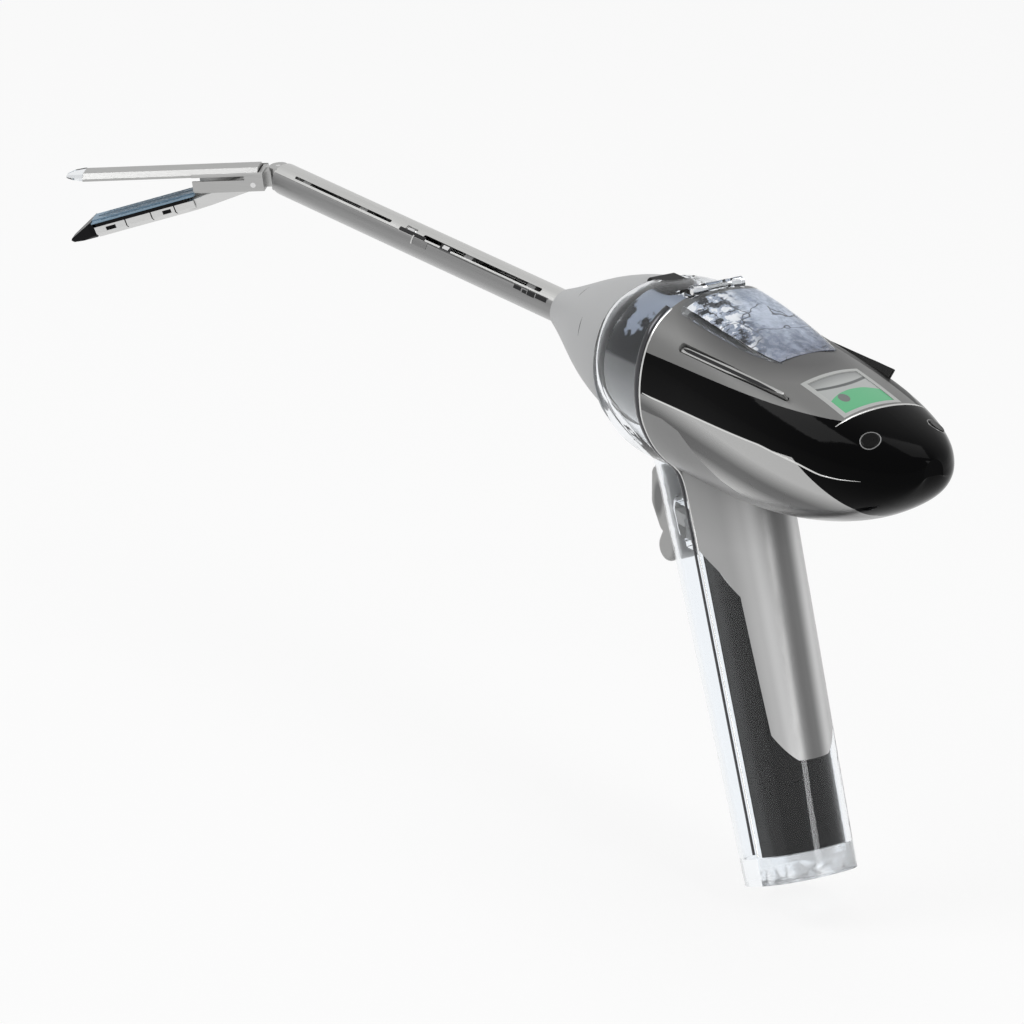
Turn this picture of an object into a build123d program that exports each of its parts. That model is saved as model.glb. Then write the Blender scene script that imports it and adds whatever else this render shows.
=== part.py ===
from build123d import *
import os
from math import copysign, cos, pi, radians, sin, sqrt

os.makedirs("parts", exist_ok=True)

# A powered surgical linear stapler. +Z is up and the barrel axis is X. The jaws point to -X,
# and the origin is on the barrel axis where the shaft leaves the nose cone.

# Clearances and walls shared by many pieces
running = 0.05
gap = 0.3
wall = 2.0
shell_wall = 1.6

# Shaft and reload
shaft_d = 12.0
shaft_bore = 10.4
tail_d = 11.2
reload_bore = 10.2
shaft_length = 98.0
shaft_tail = 56.0
pivot_x = -191.0
tube_end_gap = 4.5
bend_deg = 45.0
roll_deg = 8.0
firing_rod_d = 4.0
articulation_rod_d = 1.8
rod_offset = 3.3
slot_width = 1.6

# Tool: distances are measured forwards from the articulation pin
tool_length = 81.0
passage_r = shaft_d / 2 - 0.02
jaw_opening_deg = 13.5
knuckle_r = 3.4
knuckle_half = 3.0
pin_r = 1.0
ear_thickness = 1.3
block_start = 5.0
block_end = 32.0
plate_thickness = 0.7
jaw_hinge_d = 9.0
jaw_hinge_z = -1.0
anvil_bottom = 2.5
anvil_top = 5.0
anvil_width = 9.6
anvil_flat = 5.6
knife_slot = 1.0
tip_length = 7.0
channel_width = 9.8
channel_wall = 0.8
channel_bottom = -5.3
channel_lip = -0.7
tail_width = 7.6
cartridge_start = 29.0
cartridge_end = 73.0
deck_z = 1.8
staple_pitch = 4.2
staple_rows = 6
row_spacing = 1.25
staple_crown = 3.0
wire = 0.22

# Nose cone and adapter base
cone_length = 57.0
cone_tip_r = 6.9
cone_base_r = 26.5
cone_wall = 2.0
base_r = 24.6
release_top = 27.4
base_length = 24.0
coupling_thickness = 2.0
drive_shaft_r = 2.5
drive_pitch_r = 12.0
bearing_width = 6.0
bearing_r = 11.0

# Barrel of the handle
ring_start = 57.5
seam_x = 87.0
barrel_end = 212.0
barrel_half_width = 28.5
barrel_ring_r = 27.0
barrel_top = 30.0
deck_fall = 0.13
barrel_bottom = 32.7
tail_z = 5.0
top_taper_x = 140.0
bottom_taper_x = 120.0
oval_power = 2.4

# Grip
grip_mid_x = 124.0
grip_mid_z = -110.0
grip_rake = 0.376
grip_half_depth = 23.7
grip_flare = 0.0587
grip_half_width = 17.5
grip_base_z = -160.5
seam_offset = 3.0
saddle_offset = 18.5
saddle_tip_z = -116.0

# Edges between the covers of the barrel
deck_edge_z = 13.2
deck_rear_x = 183.0
belly_edge_z = -0.8

# Hinge of the clear shell
hinge_x = 90.0
hinge_z = 31.6
hinge_pin_r = 1.0
hinge_knuckle_r = 2.2
hinge_width = 20.0

# Controls
screen_mid_x = 169.5
screen_mid_y = -2.5
screen_length = 24.5
screen_width = 22.5
button_r = 3.1
button_x = 195.0
button_z = 10.6
button_proud = 0.3
rocker_length = 57.0
rocker_width = 2.6


def oval(half_across, up, down, mid=0.0, lift=0.0, power=oval_power, count=12):
    """Points of a closed egg-shaped outline, squarer than an ellipse."""
    points = []
    for i in range(count):
        angle = 2 * pi * (i + 0.5) / count
        across = copysign(abs(cos(angle)) ** (2 / power), cos(angle)) * half_across
        rise = copysign(abs(sin(angle)) ** (2 / power), sin(angle))
        points.append((across + mid, rise * (up if rise > 0 else down) + lift))
    return points


def taper(x, start, power):
    """One at the start of a taper, nothing at the rear end of the barrel."""
    reach = max(0.0, (x - start) / (barrel_end - start))
    return sqrt(max(0.0, 1 - reach ** power))


def barrel_size(x):
    """Half width, top and bottom of the barrel at x."""
    front = max(0.0, (seam_x - x) / (seam_x - ring_start))
    half_width = (barrel_half_width - 1.5 * front) * taper(x, top_taper_x, 2.2)
    crown = barrel_top - deck_fall * (x - seam_x) if x > seam_x else barrel_top - 4.0 * front
    top = tail_z + (crown - tail_z) * taper(x, top_taper_x, 3.0)
    belly = barrel_bottom - 5.7 * front
    bottom = (belly + tail_z) * taper(x, bottom_taper_x, 1.8) - tail_z
    return half_width, top, bottom


def barrel_side(x, z):
    """How far the surface of the barrel lies from its middle plane at this x and height."""
    half_width, top, bottom = barrel_size(x)
    rise = abs(z) / (top if z > 0 else bottom)
    return half_width * max(0.0, 1 - rise ** oval_power) ** (1 / oval_power)


def barrel_crown(x, y):
    """How high the surface of the barrel lies at this x and distance from the middle plane."""
    half_width, top, bottom = barrel_size(x)
    return top * max(0.0, 1 - (abs(y) / half_width) ** oval_power) ** (1 / oval_power)


def barrel_fill(point):
    """One on the surface of the barrel, more outside it, less inside."""
    half_width, top, bottom = barrel_size(point.X)
    rise = abs(point.Z) / (top if point.Z > 0 else bottom)
    return (abs(point.Y) / half_width) ** oval_power + rise ** oval_power


def button_plane(side):
    """A plane on the surface of the barrel under a round button, looking straight out."""
    place = Vector(button_x, side * barrel_side(button_x, button_z), button_z)
    here = barrel_fill(place)
    steps = (Vector(0.1, 0, 0), Vector(0, 0.1, 0), Vector(0, 0, 0.1))
    slopes = [barrel_fill(place + step) - here for step in steps]
    return Plane(origin=place, x_dir=(0, 0, 1), z_dir=Vector(*slopes))


def barrel_form(inset):
    """The barrel as one solid, its surface moved inwards by the inset."""
    stations = [ring_start, seam_x, 118.0, 150.0, 176.0, barrel_end - 18.0, barrel_end - 5.5,
                barrel_end - 0.6]
    with BuildPart() as form:
        for x in stations:
            half_width, top, bottom = barrel_size(x)
            place = x - inset * max(0.0, (x - 110.0) / (barrel_end - 110.0))
            with BuildSketch(Plane.YZ.offset(place)):
                with BuildLine():
                    Spline(*oval(half_width - inset, top - inset, bottom - inset), periodic=True)
                make_face()
        loft()
    return form.part


def grip_x(z):
    return grip_mid_x - grip_rake * (z - grip_mid_z)


def grip_form(inset, low=-195.0, high=-14.0):
    """The raked grip as one solid, its surface moved inwards by the inset."""
    with BuildPart() as form:
        for z in (low, high):
            half_depth = grip_half_depth + grip_flare * (z - grip_mid_z) - inset
            half_width = grip_half_width - inset
            with BuildSketch(Plane.XY.offset(z)):
                with BuildLine():
                    Spline(*oval(half_depth, half_width, half_width, mid=grip_x(z)), periodic=True)
                make_face()
        loft()
    return form.part


def side_region(points, half_width=60.0):
    """A slab right across the part, bounded by an outline seen from the side."""
    with BuildPart() as region:
        with BuildSketch(Plane.XZ):
            with BuildLine():
                Polyline(*points, close=True)
            make_face()
        extrude(amount=half_width, both=True)
    return region.part


rake_axis = Vector(grip_rake, 0, -1).normalized()
base_point = Vector(grip_x(grip_base_z), 0, grip_base_z)


def base_slice(depth, thickness):
    """A slab across the grip, square to its rake, its lower face the given depth above the base."""
    with BuildPart() as slab:
        with BuildSketch(Plane(base_point - rake_axis * depth, x_dir=(0, 1, 0), z_dir=-rake_axis)):
            Rectangle(90.0, 140.0)
        extrude(amount=thickness)
    return slab.part


below_base = base_slice(-60.0, 60.0)
barrel_outer = barrel_form(0)
barrel_inner = barrel_form(wall)
outer_form = barrel_outer + grip_form(0) - below_base
inner_form = barrel_inner + (grip_form(wall) - base_slice(-60.0, 60.0 + 9.0))
skin = outer_form - inner_form

# Outlines that divide the skin, as seen from the side
seam_line = [
    (seam_x, 60.0), (seam_x, -12.0), (seam_x + 3.5, -21.0), (grip_x(-33.0) + seam_offset, -33.0),
    (grip_x(-190.0) + seam_offset, -190.0),
]
front_region = side_region(seam_line + [(20.0, -190.0), (20.0, 60.0)])
deck_region = side_region([
    (seam_x, deck_edge_z), (deck_rear_x, deck_edge_z + 0.6), (deck_rear_x + 9.0, 60.0), (seam_x, 60.0),
])
belly_line = [
    (seam_x, -6.5), (100.0, -6.2), (109.0, -8.0), (118.0, -14.6), (128.0, -20.5), (140.0, -24.0),
    (156.0, -27.0),
]
belly_region = side_region([
    (seam_x, belly_edge_z), (171.0, belly_edge_z + 1.2), (191.0, -13.5), (199.0, -45.0), (156.0, -45.0),
] + belly_line[::-1])
saddle_region = side_region([(seam_x - 1.0, -6.5)] + belly_line[1:] + [
    (156.0, -45.0), (240.0, -45.0), (240.0, saddle_tip_z),
    (grip_x(saddle_tip_z) + saddle_offset + 4.0, saddle_tip_z),
    (grip_x(-108.0) + saddle_offset, -108.0), (grip_x(-64.0) + saddle_offset, -64.0),
    (grip_x(-57.0) + 12.0, -57.0), (grip_x(-52.0) + seam_offset, -52.0),
    (40.0, -52.0), (40.0, -6.5),
])
rear_skin = skin - front_region

with BuildPart() as deck_blank:
    add(rear_skin)
    add(deck_region, mode=Mode.INTERSECT)
    with BuildSketch(Plane.XY.offset(60.0)):
        with Locations((screen_mid_x, screen_mid_y)):
            Rectangle(screen_length, screen_width)
    extrude(amount=-60.0, mode=Mode.SUBTRACT)

# Barrel covers
with BuildPart() as belly_cover:
    add(rear_skin)
    add(belly_region, mode=Mode.INTERSECT)
belly_cover.part.label = "belly_cover"
export_step(belly_cover.part, "parts/belly_cover.step")

with BuildPart() as grip_saddle:
    add(rear_skin)
    add(saddle_region, mode=Mode.INTERSECT)
    add(belly_region, mode=Mode.SUBTRACT)
grip_saddle.part.label = "grip_saddle"
export_step(grip_saddle.part, "parts/grip_saddle.step")

grip_cut_z = -40.0
with BuildPart() as housing:
    add(rear_skin)
    add(deck_region, mode=Mode.SUBTRACT)
    add(belly_region, mode=Mode.SUBTRACT)
    add(saddle_region, mode=Mode.SUBTRACT)
    with BuildSketch(Plane.XY.offset(grip_cut_z)):
        Rectangle(600.0, 200.0)
    extrude(amount=-200.0, mode=Mode.SUBTRACT)
    for side in (-1, 1):
        with BuildSketch(button_plane(side)):
            Circle(button_r + gap / 2)
        extrude(amount=6.0, both=True, mode=Mode.SUBTRACT)

with BuildPart() as housing_left:
    add(housing.part)
    split(bisect_by=Plane.XZ, keep=Keep.TOP)
housing_left.part.label = "housing_left"
export_step(housing_left.part, "parts/housing_left.step")

with BuildPart() as housing_right:
    add(housing.part)
    split(bisect_by=Plane.XZ, keep=Keep.BOTTOM)
housing_right.part.label = "housing_right"
export_step(housing_right.part, "parts/housing_right.step")

# Clear shell, rear half: the skin of the grip behind the seam, and its floor
with BuildPart() as grip_shell:
    add(grip_form(0, high=-40.0))
    add(grip_form(shell_wall) - base_slice(-60.0, 60.0 + 9.0), mode=Mode.SUBTRACT)
    add(below_base, mode=Mode.SUBTRACT)
    add(front_region, mode=Mode.SUBTRACT)
    add(saddle_region, mode=Mode.SUBTRACT)
    add(barrel_outer, mode=Mode.SUBTRACT)
grip_shell.part.label = "grip_shell"
export_step(grip_shell.part, "parts/grip_shell.step")

# Clear hump on top of the deck, with the middle knuckle of the shell's hinge
hump_stations = [(hinge_x + 3.0, 32.0, 0.0), (108.0, 30.6, 0.3), (124.0, 27.4, 1.0), (146.0, 22.0, 4.5)]
hump_half_width = 16.5
hump_depth = 3.0
with BuildPart() as top_window:
    for x, crown, narrow in hump_stations:
        deck_top = barrel_size(x)[1]
        with BuildSketch(Plane.YZ.offset(x)):
            with BuildLine():
                Spline(*oval(hump_half_width - narrow, crown - deck_top + hump_depth, 1.0,
                             lift=deck_top - hump_depth), periodic=True)
            make_face()
    loft()
    add(barrel_outer, mode=Mode.SUBTRACT)
    with BuildSketch(Plane.XZ):
        with BuildLine():
            Polyline((hinge_x, hinge_z + 1.6), (hinge_x + 9.0, hinge_z - 1.6), (hinge_x + 9.0, hinge_z - 2.9),
                     (hinge_x, hinge_z - 2.0), close=True)
        make_face()
        with Locations((hinge_x, hinge_z)):
            Circle(hinge_knuckle_r)
    extrude(amount=hinge_width / 4 - gap / 2, both=True)
    with BuildSketch(Plane.XZ):
        with Locations((hinge_x, hinge_z)):
            Circle(hinge_pin_r)
    extrude(amount=hinge_width, both=True, mode=Mode.SUBTRACT)
top_window.part.label = "top_window"
export_step(top_window.part, "parts/top_window.step")

with BuildPart() as hinge_pin:
    with BuildSketch(Plane.XZ):
        with Locations((hinge_x, hinge_z)):
            Circle(hinge_pin_r)
    extrude(amount=hinge_width / 2, both=True)
hinge_pin.part.label = "hinge_pin"
export_step(hinge_pin.part, "parts/hinge_pin.step")

# Clear shell, front half: the ring round the adapter and the front of the grip
release_x = 61.5
release_length = 22.0
release_width = 12.0
toggle_x = 82.0
toggle_z = -53.0
toggle_hole = 14.0
toggle_half = 6.0
gimbal_half = 5.0
gimbal_height = 11.0
bracket_thickness = 2.5
with BuildPart() as shell_front:
    add(outer_form)
    add(front_region, mode=Mode.INTERSECT)
    add(barrel_form(shell_wall), mode=Mode.SUBTRACT)
    add(grip_form(shell_wall) - base_slice(-60.0, 60.0 + 9.0), mode=Mode.SUBTRACT)
    with BuildSketch(Plane.XY.offset(60.0)):
        with Locations((release_x, 0)):
            SlotOverall(release_length + gap * 2, release_width + gap * 2)
    extrude(amount=-50.0, mode=Mode.SUBTRACT)
    with BuildSketch(Plane.YZ.offset(toggle_x - 25.0)):
        with Locations((0, toggle_z)):
            RectangleRounded(toggle_hole, toggle_hole, 4.0)
    extrude(amount=25.0, mode=Mode.SUBTRACT)
    for low in (toggle_z + gimbal_height / 2 + gap, toggle_z - gimbal_height / 2 - gap - bracket_thickness):
        face_x = grip_x(low) - grip_half_depth - grip_flare * (low - grip_mid_z)
        with BuildSketch(Plane.XY.offset(low)):
            with Locations(((face_x + shell_wall / 2 + toggle_x + 4.0) / 2, 0)):
                Rectangle(toggle_x + 4.0 - face_x - shell_wall / 2, 2 * gimbal_half)
            with Locations((toggle_x, 0)):
                Circle(pin_r + running, mode=Mode.SUBTRACT)
        extrude(amount=bracket_thickness)
    for side in (-1, 1):
        with BuildSketch(Plane.XZ.offset(side * hinge_width * 0.375)):
            with BuildLine():
                Polyline((hinge_x, hinge_z + 1.6), (hinge_x - 9.0, hinge_z - 2.0),
                         (hinge_x - 9.0, hinge_z - 4.0), (hinge_x, hinge_z - 2.0), close=True)
            make_face()
            with Locations((hinge_x, hinge_z)):
                Circle(hinge_knuckle_r)
        extrude(amount=hinge_width / 8, both=True)
    with BuildSketch(Plane.XZ):
        with Locations((hinge_x, hinge_z)):
            Circle(hinge_pin_r + running)
    extrude(amount=hinge_width, both=True, mode=Mode.SUBTRACT)
shell_front.part.label = "shell_front"
export_step(shell_front.part, "parts/shell_front.step")

# Inner handle: the black grip core, its battery and cap
core_inset = wall + gap
battery_depth = 10.5
battery_width = 19.0
battery_top_z = -52.0
cap_thickness = 3.0
battery_mid = 9.4


def battery_block(grow, low_z, high_z):
    """A raked block in the middle of the inner handle, between two heights."""
    with BuildPart() as block:
        for z in (low_z, high_z):
            with BuildSketch(Plane.XY.offset(z)):
                with Locations((grip_x(z) + battery_mid, 0)):
                    RectangleRounded(battery_depth + 2 * grow, battery_width + 2 * grow, 4.0)
        loft()
    return block.part


core_floor = base_slice(-60.0, 60.0 + 9.0 + gap)
with BuildPart() as grip_core:
    add(grip_form(core_inset, high=-33.0))
    add(core_floor, mode=Mode.SUBTRACT)
    with BuildSketch(Plane.XZ):
        with BuildLine():
            Polyline(
                (grip_x(0.0) + seam_offset + gap, 0.0), (240.0, 0.0), (240.0, -240.0),
                (grip_x(-240.0) + seam_offset + gap, -240.0), close=True)
        make_face()
    extrude(amount=60.0, both=True, mode=Mode.INTERSECT)
    add(battery_block(gap, -200.0, battery_top_z), mode=Mode.SUBTRACT)
grip_core.part.label = "grip_core"
export_step(grip_core.part, "parts/grip_core.step")

with BuildPart() as battery_cap:
    add(battery_block(gap - running, -200.0, battery_top_z))
    add(base_slice(9.0 + gap, cap_thickness), mode=Mode.INTERSECT)
battery_cap.part.label = "battery_cap"
export_step(battery_cap.part, "parts/battery_cap.step")

with BuildPart() as battery_pack:
    add(battery_block(gap - running, -200.0, battery_top_z - gap))
    add(base_slice(-60.0, 60.0 + 9.0 + gap + cap_thickness), mode=Mode.SUBTRACT)
battery_pack.part.label = "battery_pack"
export_step(battery_pack.part, "parts/battery_pack.step")

# Drives inside the barrel: motor plate, three gearboxes, three motors and their chassis
drive_angles = (90.0, 210.0, 330.0)
shaft_end_x = seam_x + 1.5
plate_x = 93.0
motor_plate_thickness = 3.0
gearbox_length = 16.0
gearbox_r = 8.0
motor_length = 30.0
motor_r = 7.5
motor_shaft_x = shaft_end_x + 1.0


def drive_places():
    return [(drive_pitch_r * cos(radians(a)), drive_pitch_r * sin(radians(a))) for a in drive_angles]


with BuildPart() as motor_plate:
    add(barrel_form(wall + gap))
    with BuildSketch(Plane.YZ.offset(plate_x)):
        Rectangle(80.0, 80.0)
    extrude(amount=motor_plate_thickness, mode=Mode.INTERSECT)
    with BuildSketch(Plane.YZ.offset(plate_x)):
        with Locations(*drive_places()):
            Circle(drive_shaft_r + gap)
    extrude(amount=motor_plate_thickness, mode=Mode.SUBTRACT)
motor_plate.part.label = "motor_plate"
export_step(motor_plate.part, "parts/motor_plate.step")

gearbox_x = plate_x + motor_plate_thickness
with BuildPart() as gearboxes:
    with BuildSketch(Plane.YZ.offset(gearbox_x)):
        with Locations(*drive_places()):
            Circle(gearbox_r)
    extrude(amount=gearbox_length)
    with BuildSketch(Plane.YZ.offset(motor_shaft_x)):
        with Locations(*drive_places()):
            Circle(drive_shaft_r)
    extrude(amount=gearbox_x - motor_shaft_x)
gearboxes.part.label = "gearboxes"
export_step(gearboxes.part, "parts/gearboxes.step")

motor_x = gearbox_x + gearbox_length
with BuildPart() as drive_motors:
    with BuildSketch(Plane.YZ.offset(motor_x)):
        with Locations(*drive_places()):
            Circle(motor_r)
    extrude(amount=motor_length)
drive_motors.part.label = "drive_motors"
export_step(drive_motors.part, "parts/drive_motors.step")

chassis_thickness = 2.0
chassis_z = -drive_pitch_r * sin(radians(30.0)) - gearbox_r - chassis_thickness
board_x = motor_x + motor_length + 4.0
board_z = 2.0
board_length = 32.0
board_width = 30.0
board_thickness = 1.6
post_r = 1.6
chassis_length = board_x + board_length - 6.0 - gearbox_x
with BuildPart() as chassis:
    with BuildSketch(Plane.XY.offset(chassis_z)):
        with Locations((gearbox_x, 0)):
            Rectangle(chassis_length, 26.0, align=(Align.MIN, Align.CENTER))
    extrude(amount=chassis_thickness)
    with BuildSketch(Plane.XY.offset(chassis_z + chassis_thickness)):
        with Locations((board_x + board_length / 2 - 3.0, 0)):
            with GridLocations(board_length - 10.0, 20.0, 2, 2):
                Circle(post_r)
    extrude(amount=board_z - chassis_z - chassis_thickness)
chassis.part.label = "chassis"
export_step(chassis.part, "parts/chassis.step")

with BuildPart() as control_board:
    with BuildSketch(Plane.XY.offset(board_z)):
        with Locations((board_x, 0)):
            Rectangle(board_length, board_width, align=(Align.MIN, Align.CENTER))
    extrude(amount=board_thickness)
    with BuildSketch(Plane.XY.offset(board_z + board_thickness)):
        with Locations((board_x + 10.0, -6.0), (board_x + 22.0, 5.0)):
            Rectangle(8.0, 8.0)
    extrude(amount=1.2)
control_board.part.label = "control_board"
export_step(control_board.part, "parts/control_board.step")

# Display: light bezel in the deck, glass, and the module under it
bezel_rim = 1.6
with BuildPart() as display_bezel:
    add(rear_skin)
    with BuildSketch(Plane.XY.offset(60.0)):
        with Locations((screen_mid_x, screen_mid_y)):
            Rectangle(screen_length, screen_width)
            Rectangle(screen_length - 2 * bezel_rim, screen_width - 2 * bezel_rim, mode=Mode.SUBTRACT)
    extrude(amount=-52.0, mode=Mode.INTERSECT)
    add(deck_region, mode=Mode.INTERSECT)
display_bezel.part.label = "display_bezel"
export_step(display_bezel.part, "parts/display_bezel.step")

with BuildPart() as display_lens:
    add(barrel_form(0.3))
    add(barrel_form(wall), mode=Mode.SUBTRACT)
    with BuildSketch(Plane.XY.offset(60.0)):
        with Locations((screen_mid_x, screen_mid_y)):
            Rectangle(screen_length - 2 * bezel_rim, screen_width - 2 * bezel_rim)
    extrude(amount=-52.0, mode=Mode.INTERSECT)
    add(deck_region, mode=Mode.INTERSECT)
display_lens.part.label = "display_lens"
export_step(display_lens.part, "parts/display_lens.step")

# Controls on the barrel: two end buttons and two long rockers
button_length = 8.0


for side, name in ((-1, "end_button_left"), (1, "end_button_right")):
    with BuildPart() as end_button:
        with BuildSketch(button_plane(side).offset(button_proud - button_length)):
            Circle(button_r)
        extrude(amount=button_length)
        fillet(end_button.edges().sort_by(Axis(button_plane(side).origin, button_plane(side).z_dir))[-1], 0.5)
    end_button.part.label = name
    export_step(end_button.part, f"parts/{name}.step")

rocker_front = (103.0, 23.3)
rocker_rear = (159.5, 20.3)
rocker_rise = 1.1
rocker_point = 0.5
rocker_depth = 3.4


def rocker_plane(side):
    """A plane along the bar, on the surface of the deck, looking straight up from it."""
    front = Vector(rocker_front[0], side * rocker_front[1], barrel_crown(*rocker_front))
    rear = Vector(rocker_rear[0], side * rocker_rear[1], barrel_crown(*rocker_rear))
    along = (rear - front).normalized()
    return Plane(origin=(front + rear) * 0.5, x_dir=along, z_dir=Vector(0, side * 0.75, 1.0))


def rocker_form(side, grow, low, high):
    with BuildPart() as form:
        with BuildSketch(rocker_plane(side).offset(low)):
            with Locations((-rocker_length / 2 + rocker_width / 2, 0), (-2.0, 0)):
                Circle(rocker_width / 2 + grow)
            with Locations((rocker_length / 2 - rocker_point, 0)):
                Circle(rocker_point + grow)
            make_hull()
        extrude(amount=high - low)
    return form.part


for side, name in ((-1, "rocker_left"), (1, "rocker_right")):
    with BuildPart() as rocker:
        add(rocker_form(side, 0.0, -rocker_depth, rocker_rise))
        fillet(rocker.edges().group_by(Axis.Z)[-1], 0.4)
    rocker.part.label = name
    export_step(rocker.part, f"parts/{name}.step")

with BuildPart() as deck_cover:
    add(deck_blank.part)
    for side in (-1, 1):
        add(rocker_form(side, gap, -6.0, 4.0), mode=Mode.SUBTRACT)
    with BuildSketch(Plane.XZ):
        with Locations((seam_x + 6.0, hinge_z - 3.0 + 5.0)):
            Rectangle(13.0, 10.0)
    extrude(amount=hinge_width / 2 + gap, both=True, mode=Mode.SUBTRACT)
deck_cover.part.label = "deck_cover"
export_step(deck_cover.part, "parts/deck_cover.step")

# Release button on top of the ring, and the toggle on the front of the grip
release_travel = 1.2
with BuildPart() as release_button:
    with BuildSketch(Plane.XY.offset(base_r + gap)):
        with Locations((release_x, 0)):
            SlotOverall(release_length, release_width)
    extrude(amount=release_top - base_r - gap)
    fillet(release_button.faces().sort_by(Axis.Z)[-1].edges(), 1.4)
    with BuildSketch(Plane.YZ.offset(release_x - release_length)):
        Circle(cone_base_r + release_travel + gap)
    extrude(amount=ring_start + gap - release_x + release_length, mode=Mode.SUBTRACT)
release_button.part.label = "release_button"
export_step(release_button.part, "parts/release_button.step")

with BuildPart() as toggle_gimbal:
    with BuildSketch(Plane.XY.offset(toggle_z - gimbal_height / 2)):
        with Locations((toggle_x, 0)):
            RectangleRounded(5.0, 2 * gimbal_half - 1.0, 1.0)
    extrude(amount=gimbal_height)
    with BuildSketch(Plane.XY.offset(toggle_z - gimbal_height / 2 - gap - bracket_thickness)):
        with Locations((toggle_x, 0)):
            Circle(pin_r)
    extrude(amount=gimbal_height + 2 * gap + 2 * bracket_thickness)
    with BuildSketch(Plane.XY.offset(toggle_z - 4.0)):
        with Locations((toggle_x - 2.5, 0)):
            Rectangle(3.2, 3.0)
    extrude(amount=8.0)
    with BuildSketch(Plane.XZ):
        with Locations((toggle_x - 2.8, toggle_z)):
            Circle(pin_r)
    extrude(amount=gimbal_half - 1.0, both=True)
toggle_gimbal.part.label = "toggle_gimbal"
export_step(toggle_gimbal.part, "parts/toggle_gimbal.step")

rocker_pin_x = toggle_x - 2.8
arm_half = 2.2
arm_clear = 0.45
upper_lobe = ((63.6, -40.6, 3.0), (65.8, -49.5, 5.2), (69.0, -56.0, 4.2))
lower_knob = ((70.3, -64.6, 5.0), (72.0, -57.0, 3.0))
with BuildPart() as toggle_rocker:
    for lobe in (upper_lobe, lower_knob):
        with BuildSketch(Plane.XZ):
            for x, z, r in lobe:
                with Locations((x, z)):
                    Circle(r)
            make_hull()
        extrude(amount=toggle_half, both=True)
    fillet(toggle_rocker.edges().group_by(Axis.Y)[0] + toggle_rocker.edges().group_by(Axis.Y)[-1], 1.5)
    with BuildSketch(Plane.XZ):
        with BuildLine():
            Polyline((68.0, toggle_z + arm_half), (rocker_pin_x + 1.6, toggle_z + arm_half),
                     (rocker_pin_x + 1.6, toggle_z - arm_half), (68.0, toggle_z - arm_half), close=True)
        make_face()
    extrude(amount=gimbal_half - 1.0, both=True)
    with BuildSketch(Plane.XY.offset(toggle_z - 20.0)):
        with Locations((toggle_x, 0)):
            Rectangle(2 * 5.4, 3.0 + 2 * gap)
    extrude(amount=40.0, mode=Mode.SUBTRACT)
    with BuildSketch(Plane.XZ):
        with Locations((rocker_pin_x, toggle_z)):
            Circle(pin_r + running)
    extrude(amount=gimbal_half, both=True, mode=Mode.SUBTRACT)
    with BuildSketch(Plane.XZ):
        with Locations((toggle_x, toggle_z)):
            Rectangle(5.0 + 2 * arm_clear, gimbal_height + 4.0)
    extrude(amount=gimbal_half, both=True, mode=Mode.SUBTRACT)
toggle_rocker.part.label = "toggle_rocker"
export_step(toggle_rocker.part, "parts/toggle_rocker.step")

# Adapter: everything from here to the jaws is modelled straight, then rolled about the shaft
roll = Location((0, 0, 0), (roll_deg, 0, 0))
slot_deg = 58.7
base_x = ring_start + 1.0
spigot_r = 10.0
spigot_length = 9.0
spigot_bore_r = 7.2
hub_r = spigot_r + 3.0

with BuildPart() as adapter_base:
    with BuildSketch(Plane.XZ):
        with BuildLine():
            Polyline(
                (base_x - spigot_length, spigot_bore_r), (base_x - spigot_length, spigot_r),
                (base_x, spigot_r), (base_x, base_r - 2.0), (base_x + 2.0, base_r),
                (base_x + base_length, base_r), (base_x + base_length, spigot_bore_r), close=True)
        make_face()
    revolve(axis=Axis.X)
    with BuildSketch(Plane.YZ.offset(base_x + base_length)):
        with Locations(*drive_places()):
            Circle(drive_shaft_r + gap)
    extrude(amount=-10.0, mode=Mode.SUBTRACT)
    with BuildSketch(Plane.XY.offset(base_r - release_travel)):
        with Locations((release_x, 0)):
            SlotOverall(release_length + gap * 2, release_width + gap * 2)
    extrude(amount=10.0, mode=Mode.SUBTRACT)
adapter_base.part.label = "adapter_base"
export_step(adapter_base.part, "parts/adapter_base.step")

coupling_x = base_x + base_length
with BuildPart() as coupling_plate:
    with BuildSketch(Plane.YZ.offset(coupling_x)):
        Circle(base_r - 1.0)
        with Locations(*drive_places()):
            Circle(drive_shaft_r + gap, mode=Mode.SUBTRACT)
    extrude(amount=coupling_thickness)
coupling_plate.part.label = "coupling_plate"
export_step(coupling_plate.part, "parts/coupling_plate.step")

drive_shaft_x = coupling_x - 8.0
for number, (y, z) in enumerate(drive_places()):
    name = ("rotation_shaft", "firing_shaft", "bend_shaft")[number]
    with BuildPart() as drive_shaft:
        with BuildSketch(Plane.YZ.offset(drive_shaft_x)):
            with Locations((y, z)):
                Circle(drive_shaft_r)
        extrude(amount=shaft_end_x - drive_shaft_x)
        with BuildSketch(Plane.YZ.offset(shaft_end_x)):
            with Locations((y, z)):
                Rectangle(0.9, 3 * drive_shaft_r)
        extrude(amount=-1.5, mode=Mode.SUBTRACT)
    drive_shaft.part.label = name
    export_step(drive_shaft.part, f"parts/{name}.step")

bearing_x = base_x - spigot_length + 1.0
with BuildPart() as cone_bearing:
    with BuildSketch(Plane.YZ.offset(bearing_x)):
        Circle(hub_r)
        Circle(spigot_r, mode=Mode.SUBTRACT)
    extrude(amount=bearing_width)
cone_bearing.part.label = "cone_bearing"
export_step(cone_bearing.part, "parts/cone_bearing.step")

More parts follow.
